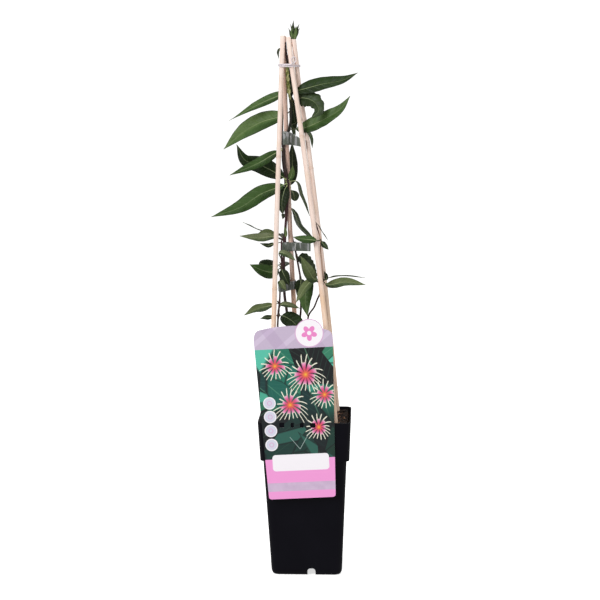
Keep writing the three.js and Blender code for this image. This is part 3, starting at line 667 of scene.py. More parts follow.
def crumb(index):
    """A ball pressed flat, each kind in its own way, with its points pushed in and out."""
    bpy.ops.object.select_all(action="DESELECT")
    bpy.ops.mesh.primitive_ico_sphere_add(subdivisions=2, radius=1)
    made = bpy.context.object
    made.name = f"crumb_{index}"
    edit(made)
    bpy.ops.transform.resize(value=(1, 0.72 - 0.09 * index, 0.42 + 0.06 * index))
    work_on(made)
    for vertex in made.data.vertices:
        push = noise.noise(vertex.co * CRUMB_BUMPS["fineness"] + Vector((index * 5, 0, 0)))
        vertex.co *= 1 + CRUMB_BUMPS["depth"] * push
    return made


crumb_kinds = [crumb(index) for index in range(CRUMB_KINDS)]
print("kinds of crumb:", len(crumb_kinds))


# %% Scatter them
CRUMB_TRIES = 330
CRUMB_TILT = 0.5
CRUMB_RISE = 0.25
CRUMB_SIZE = {"least": 0.7, "more": 1.7, "rarity": 2.2}
SCATTER = {"half": 50, "straight": 44, "corner": 6}


def scattered(kind, x, y, size, tone):
    """A copy of a crumb with its own mesh, turned and sunk at its place."""
    made = bpy.data.objects.new("crumb", kind.data.copy())
    bpy.context.collection.objects.link(made)
    made.location = Vector((x, y, peat_height(x, y) + CRUMB_RISE * size)) * MM
    made.rotation_euler = (
        chance.uniform(-CRUMB_TILT, CRUMB_TILT),
        chance.uniform(-CRUMB_TILT, CRUMB_TILT),
        chance.uniform(0, 2 * math.pi),
    )
    made.scale = [size * MM] * 3
    keep(made, "tone", [tone] * len(made.data.vertices))
    return made


def off_the_peat(x, y):
    """True outside the rounded square that crumbs may lie on."""
    past = [max(0, abs(value) - SCATTER["straight"]) for value in (x, y)]
    return math.hypot(*past) > SCATTER["corner"]


crumbs = []
for number in range(CRUMB_TRIES):
    x = chance.uniform(-SCATTER["half"], SCATTER["half"])
    y = chance.uniform(-SCATTER["half"], SCATTER["half"])
    if off_the_peat(x, y):
        continue
    size = CRUMB_SIZE["least"] + CRUMB_SIZE["more"] * chance.random() ** CRUMB_SIZE["rarity"]
    kind = crumb_kinds[number % CRUMB_KINDS]
    crumbs.append(scattered(kind, x, y, size, chance.random()))
for kind in crumb_kinds:
    bpy.data.objects.remove(kind)
crumbs = join("peat_crumbs", crumbs)
print("crumbs:", len(crumbs.data.polygons), "faces")

# %% [markdown]
# Wet peat is nearly black between its fibres and brown on top of them, and dry bark chips are much
# paler. A ramp over fine noise gives both. Each crumb keeps one random tone in an attribute, so
# that neighbours differ and each is of one piece.

# %% Peat finishes
peat_earth = Shader("peat_earth", {"Specular IOR Level": 0.15})
spot = peat_earth.place()
fibre = peat_earth.noise(spot, 700, 6, 0.7)
patch = peat_earth.noise(spot, 130, 3)
shade = (fibre * 0.75 + patch * 0.5) - 0.12
peat_earth.feed("Base Color", peat_earth.ramp(
    shade, (0.34, linear(10, 7, 6)), (0.5, linear(27, 20, 15)),
    (0.62, linear(80, 56, 42)), (0.76, linear(152, 112, 86))))
peat_earth.feed("Roughness", 0.82 + fibre * 0.16)
peat_earth.bump(fibre * 1.4 + patch, 0.0009)

bark_chip = Shader("bark_chip", {"Specular IOR Level": 0.2})
spot = bark_chip.place()
grain = bark_chip.noise(bark_chip.stretched(spot, 1, 1, 3), 900, 4, 0.65)
tone = bark_chip.node("Attribute", {"attribute_name": "tone"}, output="Fac")
bark_chip.feed("Base Color", bark_chip.ramp(
    tone * 0.8 + grain * 0.3, (0.15, linear(18, 13, 10)), (0.45, linear(48, 34, 26)),
    (0.74, linear(128, 90, 68)), (1.0, linear(186, 142, 112))))
bark_chip.feed("Roughness", 0.7 + grain * 0.25)
bark_chip.bump(grain, 0.0003)

finish_piece(peat, ["soil"], [peat_earth], smooth=60)
finish_piece(crumbs, ["soil"], [bark_chip], smooth=30)

# %% [markdown]
# ## The canes
#
# Four thin bamboo canes stand in the peat, three near corners of the pot and one half way along
# its back, and lean together at the top. Bamboo is not a plain dowel: it swells at each joint,
# with a fine groove above the swelling, it is slightly out of round, and its cut end shows the
# hollow. Each cane is grown ring by ring like the pot. A grain attribute keeps the place of each
# point on its cane, so that the fibres run along the cane and not straight up.

# %% Cane sizes, in millimetres
CANE = {"bottom": 70, "rim": 196, "tie": 632, "top": 667, "thick": 3.15, "thin": 2.9, "tuck": 0.07}
# A cane's tone is painted shade: under 1 its colour is mixed towards a shaded copy, most on the
# cane at the back left.
CANES = {
    "cane_front_left": {
        "ground": (-41, -41), "tie": (-29.2, -4), "top": (-28.2, -1),
        "trim": 1, "bow": -0.6, "joints": (163, 358, 520), "tone": 1.0,
    },
    "cane_front_right": {
        "ground": (38, -41), "tie": (-17.2, -3.2), "top": (-21.2, 0),
        "trim": -0.5, "bow": 3.2, "joints": (140, 366, 545), "tone": 0.95,
    },
    "cane_back_right": {
        "ground": (39.4, 40), "tie": (-10.6, 2.8), "top": (-15, -0.4),
        "trim": -3.5, "bow": 3.1, "joints": (225, 372, 505), "tone": 0.9,
        "crook": -1.4,
    },
    "cane_back_left": {
        "ground": (-8, 41), "tie": (-26.7, 4.6), "top": (-27.2, 5.6),
        "trim": 0.5, "bow": -2.1, "joints": (150, 300, 448), "tone": 0.4,
    },
}
CANE_SIDES = 20
CROOK = {"height": 600, "reach": 26}
JOINT = {
    "swell": 0.34, "swell_reach": 1.3,
    "groove": 0.24, "groove_above": 1.7, "groove_reach": 0.45,
    "stain_above": 0.8, "stain_reach": 1.6,
}
OUT_OF_ROUND = {"oval": 0.04, "fivefold": 0.025, "wander": 0.01}


def cane_at(name, z):
    """The middle of a cane at a height, level across."""
    spec = CANES[name]
    ground, tie, top = (Vector(spec[key]) for key in ("ground", "tie", "top"))
    if z > CANE["tie"]:
        return tie.lerp(top, (z - CANE["tie"]) / (CANE["top"] - CANE["tie"]))
    if z < CANE["rim"]:
        depth = (CANE["rim"] - z) / (CANE["rim"] - CANE["bottom"])
        return ground * (1 - CANE["tuck"] * depth)
    t = (z - CANE["rim"]) / (CANE["tie"] - CANE["rim"])
    crook = spec.get("crook", 0) * bell(z - CROOK["height"], CROOK["reach"])
    return ground.lerp(tie, t) + Vector((4 * spec["bow"] * t * (1 - t) + crook, 0))


def cane_radius(z):
    share = (z - CANE["bottom"]) / (CANE["top"] - CANE["bottom"])
    return CANE["thick"] + (CANE["thin"] - CANE["thick"]) * share


def joint_relief(z, joints):
    """The swelling at a joint and the groove just above it."""
    swell = sum(JOINT["swell"] * bell(z - joint, JOINT["swell_reach"]) for joint in joints)
    groove = sum(JOINT["groove"] * bell(z - joint - JOINT["groove_above"], JOINT["groove_reach"])
                 for joint in joints)
    return swell - groove


def cane_ring(name, z, shrink=0.0):
    """One ring round a cane, slightly out of round."""
    middle = cane_at(name, z)
    joints = CANES[name]["joints"]
    ring = []
    for k in range(CANE_SIDES):
        angle = 2 * math.pi * (k + 0.5) / CANE_SIDES
        oval = OUT_OF_ROUND["oval"] * math.sin(2 * angle + joints[0])
        fivefold = OUT_OF_ROUND["fivefold"] * math.sin(5 * angle + OUT_OF_ROUND["wander"] * z)
        radius = (cane_radius(z) + joint_relief(z, joints)) * (1 + (oval + fivefold)) - shrink
        ring.append(Vector((middle.x + radius * math.cos(angle),
                            middle.y + radius * math.sin(angle), z)))
    return ring


# %% Grow a cane
RINGS_BETWEEN = range(220, 625, 18)
RINGS_AT_JOINT = (-5, -2.6, -1.5, -0.7, 0, 0.7, 1.2, 1.7, 2.2, 3, 6)
CUT_END = {"edge": 0.25, "wall": 1.5, "hollow": 1.6, "depth": 5}


def ring_heights(spec, top):
    """Where a cane has its rings: far apart on the plain lengths and close at each joint."""
    heights = {CANE["bottom"], CANE["rim"], CANE["tie"], top - CUT_END["edge"]}
    heights.update(RINGS_BETWEEN)
    for joint in spec["joints"]:
        heights = {z for z in heights if abs(z - joint) > RINGS_AT_JOINT[-1]}
        heights.update(joint + step for step in RINGS_AT_JOINT)
    return sorted(heights)


def grow_cane(name):
    """One cane from its foot in the peat to the hollow of its cut end."""
    top = CANE["top"] + CANES[name]["trim"]
    heights = ring_heights(CANES[name], top)
    bpy.ops.object.select_all(action="DESELECT")
    bpy.ops.mesh.primitive_circle_add(
        vertices=CANE_SIDES, radius=CANE["thick"] * MM, fill_type="NGON")
    cane = bpy.context.object
    cane.name = name + "_bamboo"
    edit(cane)
    lay_ring(cane_ring(name, heights[0]))
    grow(cane_ring(name, z) for z in heights[1:])
    grow([
        cane_ring(name, top, CUT_END["edge"]),
        cane_ring(name, top, CUT_END["wall"]),
        cane_ring(name, top - CUT_END["depth"], CUT_END["hollow"]),
    ])
    bpy.ops.mesh.select_all(action="SELECT")
    bpy.ops.mesh.normals_make_consistent(inside=False)
    work_on(cane)
    mark_grain(cane, name)
    return cane


def mark_grain(cane, name):
    """Keep each point's place on its cane, and how near a joint it is."""
    places, nearness = [], []
    for vertex in cane.data.vertices:
        z = vertex.co.z / MM
        middle = cane_at(name, z) * MM
        offset = CANES[name]["trim"]
        places.append((vertex.co.x - middle.x, vertex.co.y - middle.y, vertex.co.z + offset))
        near = min(abs(z - joint - JOINT["stain_above"]) for joint in CANES[name]["joints"])
        nearness.append(bell(near, JOINT["stain_reach"]))
    keep(cane, "grain", places)
    keep(cane, "joint", nearness)
    # The tone is painted shade, which the finish reads.
    keep(cane, "tone", [CANES[name]["tone"]] * len(places))


rings = [len(ring_heights(spec, CANE["top"] + spec["trim"])) for spec in CANES.values()]
print("rings on each cane, without its cut end:", rings)


# %% [markdown]
# Dry bamboo is pale straw with darker fibres that run its length, warmer towards the foot and
# stained round each joint. The noise is drawn out along the cane's own grain. A tone mixes each
# cane towards a shaded copy of its colour, which is painted shade, and the cane at the back left
# gets the most of it.

# %% Cane finish and the four canes
bamboo = Shader("bamboo", {"Specular IOR Level": 0.3})
grain = bamboo.node("Attribute", {"attribute_name": "grain"}, output="Vector")
joint = bamboo.node("Attribute", {"attribute_name": "joint"}, output="Fac")
tone = bamboo.node("Attribute", {"attribute_name": "tone"}, output="Fac")
streak = bamboo.noise(bamboo.stretched(grain, 1, 1, 0.022), 1500, 3, 0.6)
band = bamboo.noise(bamboo.stretched(grain, 1, 1, 0.1), 330, 2)
blotch = bamboo.noise(grain, 55, 2)
fibres = streak * 0.6 + band * 0.55 - 0.07
colour = bamboo.ramp(fibres, (0.25, linear(216, 182, 167)), (0.5, linear(244, 222, 210)),
                     (0.75, linear(252, 237, 228)))
warm = bamboo.mix(blotch.step(0.45, 0.75) * 0.5, colour, linear(232, 206, 180))
# The shaded ramp is painted shade: a darker copy of the bamboo's colour, as if out of the light.
shaded = bamboo.ramp(fibres, (0.25, linear(178, 130, 112)), (0.5, linear(206, 164, 146)),
                     (0.75, linear(226, 190, 172)))
warm = bamboo.mix(tone, shaded, warm)
height = bamboo.axes(bamboo.place())[2]
straw = bamboo.mix(height.step(0.39, 0.34) * 0.7, (1, 1, 1, 1), linear(255, 242, 218))
warm = bamboo.mix(1.0, warm, straw, "MULTIPLY")
ringed = bamboo.mix(joint * 0.35, warm, linear(184, 148, 120))
bamboo.feed("Base Color", ringed)
bamboo.feed("Roughness", 0.45 + streak * 0.25)
bamboo.bump(streak * 0.8 + band, 0.00018)

for name in CANES:
    finish_piece(grow_cane(name), [name], [bamboo], smooth=45)

# %% [markdown]
# ## The twining stems
#
# Each stem and each leaf is described by a few points in space, and a smooth line runs through
# them. The solids were drawn with the same kind of line, so that a finer piece can follow its solid
# closely. Blender's own curves round their corners in another way, which is why the line is worked
# out here.

# %% A smooth line through points
def curve_place(points, t):
    """A point at share t of a centripetal Catmull-Rom line, t counted by its points."""
    place = (len(points) - 1) * t
    index = min(int(place), len(points) - 2)
    w = place - index
    p1, p2 = points[index], points[index + 1]
    p0 = points[index - 1] if index > 0 else 2 * p1 - p2
    p3 = points[index + 2] if index + 2 < len(points) else 2 * p2 - p1
    d1 = max((p2 - p1).length, 1e-8) ** 0.5
    d0 = (p1 - p0).length ** 0.5 or d1
    d2 = (p3 - p2).length ** 0.5 or d1
    leave = ((p1 - p0) / d0 - (p2 - p0) / (d0 + d1) + (p2 - p1) / d1) * d1
    arrive = ((p2 - p1) / d1 - (p3 - p1) / (d1 + d2) + (p3 - p2) / d2) * d1
    square = -3 * p1 + 3 * p2 - 2 * leave - arrive
    cube = 2 * p1 - 2 * p2 + leave + arrive
    return p1 + (leave + (square + cube * w) * w) * w


class Line:
    """A smooth line through points, read by the share of its length."""

    STEPS = 200

    def __init__(self, points):
        self.points = [Vector(point) for point in points]
        marks = [curve_place(self.points, k / self.STEPS) for k in range(self.STEPS + 1)]
        self.run = [0.0]
        for a, b in zip(marks, marks[1:]):
            self.run.append(self.run[-1] + (b - a).length)
        self.length = self.run[-1]

    def time(self, share):
        """The curve's own t at a share of its length."""
        goal = min(max(share, 0), 1) * self.length
        index = min(bisect.bisect_right(self.run, goal) - 1, self.STEPS - 1)
        step = self.run[index + 1] - self.run[index]
        return (index + (goal - self.run[index]) / step) / self.STEPS

    def at(self, share):
        return curve_place(self.points, self.time(share))

    def direction(self, share):
        t = self.time(share)
        low, high = max(t - 1e-4, 0), min(t + 1e-4, 1)
        ahead = curve_place(self.points, high) - curve_place(self.points, low)
        return ahead.normalized()


quarter = Line([(1, 0, 0), (0.7, 0.7, 0), (0, 1, 0)])
print("a line through three points of a quarter circle is", round(quarter.length, 3), "long")

# %% [markdown]
# Round things, such as stems, stalks and wires, are drawn as a curve with a thickness at each
# point, which Blender turns into tubes. Each is then made a mesh, with its ends closed.

# %% Tubes along lines
WELD = 4e-6


def open_curve(name):
    """A curve object with nothing drawn in it yet."""
    bpy.ops.object.select_all(action="DESELECT")
    bpy.ops.curve.primitive_nurbs_path_add()
    curve = bpy.context.object
    curve.name = name
    curve.data.splines.clear()
    return curve


def tubes(name, runs, sides):
    """Tubes with closed ends. A run is a row of (point, radius) in millimetres."""
    curve = open_curve(name)
    curve.data.bevel_depth = MM
    curve.data.bevel_resolution = (sides - 4) // 2
    curve.data.use_fill_caps = True
    for run in runs:
        spline = curve.data.splines.new("POLY")
        spline.points.add(len(run) - 1)
        for corner, (point, radius) in zip(spline.points, run):
            corner.co = (*(Vector(point) * MM), 1)
            corner.radius = radius
    work_on(curve)
    bpy.ops.object.convert(target="MESH")
    made = bpy.context.object
    edit(made)
    bpy.ops.mesh.remove_doubles(threshold=WELD)
    bpy.ops.mesh.normals_make_consistent(inside=False)
    work_on(made)
    return made


# %% Stems: their radius at the bottom and top, and the points they pass, in millimetres
STEMS = {
    "main": (2, 1.3, [
        (-8, 8, 150), (-9, 8, 190), (-16, 10, 251), (-24, 15, 324), (-27, 18, 345),
        (-28, 20, 383), (-28, 20, 399), (-27, 19, 414), (-25, 16, 440), (-23, 11.7, 462),
        (-22.3, 9.6, 489), (-26, 8.5, 509), (-28.3, 8.4, 529), (-24, 5.6, 542),
        (-19.5, 7.5, 559), (-18.6, 10, 583), (-20.4, 10, 602), (-21.8, 8.2, 620),
        (-21.6, 3.6, 636), (-19.5, 5, 651), (-16, 6.2, 660), (-13.4, 5.6, 670),
    ]),
    "left": (1.7, 0.9, [
        (-21, 4, 150), (-24, 4, 190), (-32, 3, 252), (-35, 3, 305), (-34, 4, 325),
        (-32.6, 5, 340), (-32, 6, 355), (-31, 6, 370), (-30, 6, 386), (-30.5, 5.5, 401),
        (-30, 4.5, 417),
    ]),
    "back": (1.7, 1, [
        (-2, 14, 150), (-2, 14, 190), (-5, 14, 250), (-8.7, 14, 301), (-6.5, 13, 324),
        (-6, 12, 346), (-6.7, 13, 366), (-9.8, 18, 383), (-13.2, 28, 398), (-17.5, 31.5, 416),
        (-20.5, 30, 439), (-21, 27, 464), (-20.5, 25, 479),
    ]),
    "right": (1.5, 0.8, [
        (2, -3, 150), (1, -3, 190), (2, -3, 253), (3, -4, 304), (4, -5, 322), (11, -7, 333),
        (15, -9, 343), (18.5, -12, 351), (21.5, -11, 360), (21.5, -9, 370), (20.5, -9, 389),
        (19, -13, 405), (19, -19, 419), (15, -13, 432), (11.5, -8, 442),
    ]),
}
stem_lines = {name: Line(points) for name, (thick, thin, points) in STEMS.items()}


HALVINGS = 30


def stem_rod(name, z):
    """The middle and the radius of a stem at a height, found by halving its length repeatedly."""
    thick, thin, _ = STEMS[name]
    low, high = 0.0, 1.0
    for _ in range(HALVINGS):
        middle = (low + high) / 2
        if stem_lines[name].at(middle).z < z:
            low = middle
        else:
            high = middle
    point = stem_lines[name].at(low)
    return Vector((point.x, point.y)), thick + (thin - thick) * low


print({name: round(line.length) for name, line in stem_lines.items()}, "mm of stem")

# %% [markdown]
# ## The leaves
#
# Honeysuckle leaves stand in pairs on thin stalks. A blade is broad below its middle and drawn out
# to a long tip, its halves fold up a little along the midrib, and its edge waves. The list gives
# each leaf its width, the length of its stalk, a tone (0 pale olive, 0.5 the darkest, 1 young
# green), the way its upper side looks, and the points its midrib passes from the stem to the tip.

# %% Leaves of each stem, in millimetres
def leaf(width, stalk, tone, face, *rib):
    """What one leaf is like, before it is modelled."""
    return {"width": width, "stalk": stalk, "tone": tone, "face": face, "rib": rib,
            "wave": 0.5, "teeth": 0, "blunt": False, "broadest": 0.365, "round": 0.62}


def wavy_leaf(*values):
    """A leaf whose edge waves three times as much."""
    return {**leaf(*values), "wave": 1.6}


def ragged_leaf(*values):
    """A wavy leaf with a notched edge."""
    return {**wavy_leaf(*values), "teeth": 0.09}


def blunt_leaf(*values):
    """A leaf that is evenly rounded at both ends."""
    return {**leaf(*values), "blunt": True}


def full_leaf(*values):
    """A leaf that is broadest close to its stalk."""
    return {**leaf(*values), "broadest": 0.22, "round": 0.4}


LEAVES = {
    "main": [
        # the pairs at the top, spread left and right
        leaf(
            20.5, 10, 0.6, (0, -0.8, 0.6),
            (-20.4, 10, 600), (-7, -1.2, 601.6), (20, -7, 608.5), (46, -13, 613.5),
            (64, -18, 622.5),
        ),
        ragged_leaf(
            22, 8, 0.3, (0.2, -0.96, 0.2),
            (-18.6, 10, 587), (-4.5, -1.4, 592), (10.5, -10, 587.5), (16.5, -15, 577),
            (7, -17, 567),
        ),
        leaf(
            20.5, 10, 0.86, (-0.1, -0.85, 0.5),
            (-21.2, 6.7, 553), (-2, 0, 555), (26, -9, 567.5), (43, -13, 578.5), (55, -16, 594.5),
        ),
        leaf(
            7, 20, 0.3, (0.6, -0.6, 0.4),
            (-21.2, 6.7, 553), (-4, 0, 554), (5, -6, 548), (9, -14, 531),
        ),
        full_leaf(
            15, 11, 0.84, (0, -0.75, 0.65),
            (-20.4, 10, 599), (-27, 15.5, 597), (-55, 16, 585.5), (-95, 5, 564),
        ),
        leaf(
            26.5, 12, 0.94, (0, -0.8, 0.6),
            (-18.6, 10, 577), (-26, 17, 570.5), (-55, 22, 562), (-79, 22, 548.5), (-103, 18, 528),
        ),
        blunt_leaf(
            8, 2, 0.44, (0.3, -0.9, 0.1),
            (-19.6, 10, 597), (-17, 13, 585), (-15, 16, 570), (-13.5, 19, 552),
        ),
        blunt_leaf(
            7, 2, 0.2, (0.5, -0.8, 0.2),
            (-17.6, 12.5, 588), (-18, 14.5, 572), (-17, 17, 558), (-14, 20, 543),
        ),
        # the big leaves below the upper tape
        leaf(
            22, 7, 0.56, (0, -0.93, 0.3),
            (-22.3, 9.6, 489), (-30, 7, 495), (-54, 2, 508), (-75, -3, 515.5), (-85, -7, 535),
        ),
        leaf(
            14, 6, 0.74, (0.1, -0.85, 0.5),
            (-28.3, 8.4, 528), (-37, 2, 524), (-59, -12, 511.5), (-93, -18, 497.5),
        ),
        leaf(
            23.5, 6, 0.77, (0, -0.75, 0.65),
            (-22.3, 9.6, 487), (-31, 6, 482.5), (-54, -2, 474), (-81, -10, 457), (-116, -18, 446),
        ),
        leaf(
            18, 5, 0.47, (-0.2, -0.95, 0.2),
            (-22.3, 9.8, 485), (-26.2, 4, 478), (-29.4, 0, 463), (-28, -4, 448),
        ),
        leaf(
            8, 3, 1, (0, -1, 0.2),
            (-22.3, 9.6, 490), (-19, 5, 493), (-17, 3.5, 499), (-16, 3, 509),
        ),
        leaf(
            9, 11, 0.3, (0.8, -0.42, 0.4),
            (-22.3, 9.6, 488), (-12, 6, 489), (-5, 5, 471), (5, 4, 446),
        ),
        leaf(
            15, 9, 0.5, (0, -0.1, 1),
            (-20, 7.5, 558), (-13, 15, 561), (-11, 32, 566), (-6, 56, 562),
        ),
        # the pair above the middle tape, and those that hang about it
        leaf(
            14, 12, 0.02, (0, -0.7, 0.7),
            (-27, 19, 415), (-41, 12, 419.2), (-59, 4, 418.2), (-82, -4, 421.4),
        ),
        leaf(
            11, 10, 0.12, (0, -0.8, 0.6),
            (-27, 19, 413), (-38, 21, 418), (-50, 21, 423.5), (-62, 19, 421.5),
        ),
        leaf(
            5, 34, 0.3, (0, 0.1, 1),
            (-27, 19, 416), (-38, 30, 422), (-58, 34, 425.5), (-81, 42, 435),
        ),
        leaf(
            4, 3, 1, (0, -1, 0.1),
            (-27, 19, 417), (-25.5, 15, 420), (-25.5, 13.5, 426), (-27, 13, 433),
        ),
        leaf(
            7, 8, 0.45, (0, -0.1, 1),
            (-27, 19, 412), (-30, 30, 417), (-33, 44, 420), (-36, 64, 416),
        ),
        leaf(
            10, 8, 0.45, (0.1, -0.1, 1),
            (-28, 20, 376), (-28, 30, 380), (-24, 46, 383), (-18, 66, 378),
        ),
        # low down, behind the label
        leaf(
            17, 7, 0.5, (0, -0.2, 1),
            (-18, 11.2, 268), (-22, 24, 274), (-26, 40, 272), (-30, 62, 262),
        ),
        leaf(
            17, 7, 0.5, (0, -0.2, 1),
            (-18, 11.2, 268), (-28, 14, 274), (-40, 17, 274), (-54, 19, 262),
        ),
        # young leaves, still clasping the stem among the canes' upper ends
        leaf(
            8, 6, 0.5, (0.1, -1, 0.1),
            (-19.7, 10, 592), (-21.5, 13, 604), (-23, 13.4, 622), (-23.5, 12.4, 642),
        ),
        leaf(
            8, 2, 0.5, (0.1, -1, 0.1),
            (-19.6, 11, 590), (-18.2, 12.5, 601), (-18.2, 13, 614), (-19.4, 12.6, 631),
        ),
        leaf(
            4.6, 8, 0.47, (-0.7, -0.7, 0.2),
            (-20, 4.6, 649), (-27, 10, 652), (-33, 8, 651), (-33.4, 4, 640),
        ),
        # the tip, a bunch of short leaves one above another
        leaf(
            2.8, 1, 0.48, (-0.5, -0.8, 0.3),
            (-16, 6.2, 660), (-18.6, 5, 668), (-19.4, 4.2, 673), (-21.3, 4.6, 677),
        ),
        leaf(
            2.8, 1, 0.5, (0.5, -0.8, 0.3),
            (-14.6, 5.8, 663), (-11, 5, 669), (-9.4, 4.4, 674), (-7, 4.6, 677),
        ),
        leaf(
            2.6, 1, 0.46, (-0.3, -0.9, 0.1),
            (-14.8, 5.8, 665), (-16, 4.6, 671), (-17.2, 4, 677), (-19, 4, 682),
        ),
        leaf(
            3.4, 1, 0.52, (0.3, -0.9, 0.1),
            (-14.2, 5.8, 666), (-12.4, 4.6, 672), (-10.4, 4.2, 677), (-8, 4.4, 682),
        ),
        leaf(
            3.6, 1, 0.5, (0, -1, 0.1),
            (-13.8, 5.6, 668), (-15, 4.2, 673), (-15.6, 3.6, 679), (-14.9, 4, 686.4),
        ),
        leaf(
            4.8, 1, 0.96, (0.2, -1, 0.1),
            (-14.2, 5, 661), (-13.2, 2.6, 667), (-12.4, 2.4, 673), (-11.8, 3.4, 680),
        ),
        leaf(
            4, 1, 0.86, (-0.3, -1, 0.1),
            (-15, 5, 661), (-17, 3, 667), (-17.4, 2.8, 672), (-16, 3.4, 679),
        ),
        leaf(
            4.4, 1, 0.6, (0, 1, 0.1),
            (-13.6, 5.6, 668), (-14.6, 8.2, 672), (-15.2, 9.6, 677), (-15.4, 10, 682.5),
        ),
        leaf(
            4, 1, 0.95, (0.6, 0.7, 0.1),
            (-13.4, 5.6, 669), (-11.8, 8, 672), (-10.8, 9.2, 675), (-10, 10, 679.5),
        ),
    ],
    "left": [
        leaf(6, 9, 0.5, (0, -0.8, 0.5), (-30, 5, 413), (-40, 4, 411), (-47, 2, 409), (-57, 0, 412)),
        blunt_leaf(
            15, 5, 0.5, (0, -0.98, 0.05),
            (-30, 6, 385), (-40, 9, 383), (-49, 11, 383.5), (-59, 12, 386),
        ),
        leaf(
            18, 5, 0.72, (0, -0.9, 0.35),
            (-30.2, 6, 381), (-42, -1, 376), (-54, -7, 379), (-69, -11, 386.5),
        ),
        leaf(
            9, 11, 0.0, (0, -0.8, 0.5),
            (-30.2, 6, 391), (-33, 1, 400), (-24, -3, 399), (-12, -7, 391),
        ),
        leaf(
            13, 3, 0.4, (0.1, -0.95, 0.2),
            (-31, 6, 381), (-28.3, 3, 375), (-25, 3, 368), (-20.5, 4, 359),
        ),
        leaf(
            9, 3, 0.08, (-0.2, -0.95, 0.2),
            (-31.6, 6, 366), (-31.4, 1, 364), (-28, -1, 359), (-24, -1, 353),
        ),
        wavy_leaf(
            13, 8, 0.12, (0, -0.7, 0.7),
            (-33, 5, 337), (-42, 2, 334), (-59, -4, 330.5), (-77, -10, 322.5),
        ),
        leaf(
            7, 8, 0.25, (0, -0.8, 0.5),
            (-34, 4, 322), (-42, 8, 318), (-50, 13, 317), (-58, 17, 315),
        ),
        leaf(
            8, 8, 0.05, (0, -0.8, 0.5),
            (-34, 4, 327), (-30, 0, 335), (-21, -2, 335), (-7, -4, 331),
        ),
        leaf(
            23, 6, 0.56, (0.1, -0.8, 0.6),
            (-34, 4, 320), (-29, -1, 321), (-15, -13, 315), (2, -26, 297),
        ),
        leaf(
            16, 6, 0.5, (0, -0.2, 1),
            (-29, 3, 230), (-34, 14, 236), (-40, 28, 236), (-46, 50, 226),
        ),
        leaf(
            15, 6, 0.5, (0, -0.2, 1),
            (-29, 3, 230), (-22, -8, 236), (-18, -22, 238), (-14, -42, 230),
        ),
    ],
    "back": [
        leaf(
            14, 5, 0.46, (0.2, -0.9, -0.1),
            (-20.5, 25, 478.5), (-18, 25.5, 492), (-17.5, 26, 510), (-17.8, 27, 537),
        ),
        blunt_leaf(
            13, 5, 0.4, (0, -0.3, 0.95),
            (-20.5, 25, 478), (-17.5, 32, 475), (-16.2, 42, 470), (-15.4, 56, 461),
        ),
        blunt_leaf(
            11, 4, 0.36, (0.6, -0.5, 0.6),
            (-20.9, 28, 457), (-14.2, 22, 447.5), (-7, 8, 431.5), (8.7, 0, 418),
        ),
        leaf(
            9, 6, 0.45, (0, -0.1, 1),
            (-20.5, 30, 440), (-24, 42, 444), (-28, 56, 444), (-32, 78, 436),
        ),
        ragged_leaf(
            16, 6, 0.46, (0.2, -0.9, 0.3),
            (-12.4, 25.5, 393), (-5, 12, 393), (0, 5, 390), (6, 0, 382), (14.5, -3, 367),
        ),
        leaf(16, 6, 0.5, (0, -0.2, 1), (-5.4, 14, 256), (2, 24, 262), (9, 35, 262), (17, 52, 252)),
        leaf(
            13, 4, 0.4, (0, -0.95, 0.2),
            (-6.7, 13, 367), (-6, 8, 365), (-7, 5, 358), (-11, 2, 347),
        ),
    ],
    "right": [
        leaf(
            10, 13, 0.76, (0, -0.95, 0.3),
            (19, -19, 419), (18.2, -27.5, 418), (9, -30, 419), (-3, -28, 420), (-15, -23, 422),
        ),
        leaf(8, 3, 0.3, (0.5, -0.8, 0.3), (19, -19, 419), (22, -20, 413.5), (29, -18, 406)),
        leaf(
            4, 7, 0.4, (0.75, 0.05, 0.65),
            (12.5, -9.5, 439), (16, -12, 436), (22, -14, 426.5), (28.5, -15, 417),
        ),
        leaf(
            16, 7, 0.08, (-0.3, -0.9, 0.3),
            (21.5, -9, 368), (12, -14, 369), (3, -25, 384), (-5, -30, 399),
        ),
        leaf(
            13, 10, 0.1, (-0.3, -0.9, 0.3),
            (21.5, -9, 364), (10, -10, 367), (2, -17, 361), (-11, -27, 341),
        ),
        leaf(
            17, 13, 0.84, (0, -0.97, 0.2),
            (21.5, -10, 362), (10, -5, 365.5), (4, -5, 360), (0.5, -6, 350), (0, -9, 339.5),
            (3, -14, 322),
        ),
        leaf(
            14, 5, 0.12, (0, -0.75, 0.65),
            (21.5, -9, 366), (28, -11, 361.5), (49, -16, 365.4), (75, -22, 363),
        ),
        leaf(5.5, 4, 0.5, (0.3, -0.9, 0.2), (21.5, -9, 366), (26, -11, 369), (23.5, -15, 379)),
        leaf(
            8, 10, 0.25, (0, 0.05, 1),
            (21.5, -9, 367), (30, -6, 370), (45, -2, 372), (74, 4, 369),
        ),
        leaf(17, 7, 0.5, (0, -0.2, 1), (2.4, -3, 270), (10, 6, 277), (20, 12, 277), (33, 20, 268)),
        leaf(
            16, 7, 0.5, (0, -0.2, 1),
            (2.4, -3, 270), (-4, -14, 276), (-8, -26, 276), (-14, -44, 268),
        ),
    ],
}
print({name: len(leaves) for name, leaves in LEAVES.items()}, "leaves")

# %% [markdown]
# A real blade is darker towards its margin and paler along its midrib and side veins, and bulges a
# little between them. The underside is greyer, with raised veins. The two finishes share one
# pattern, which reads the blade's own measures and so follows every bend.

# %% Leaf finishes: the shared pattern of midrib and side veins
VEINS_A_BLADE = 8.5


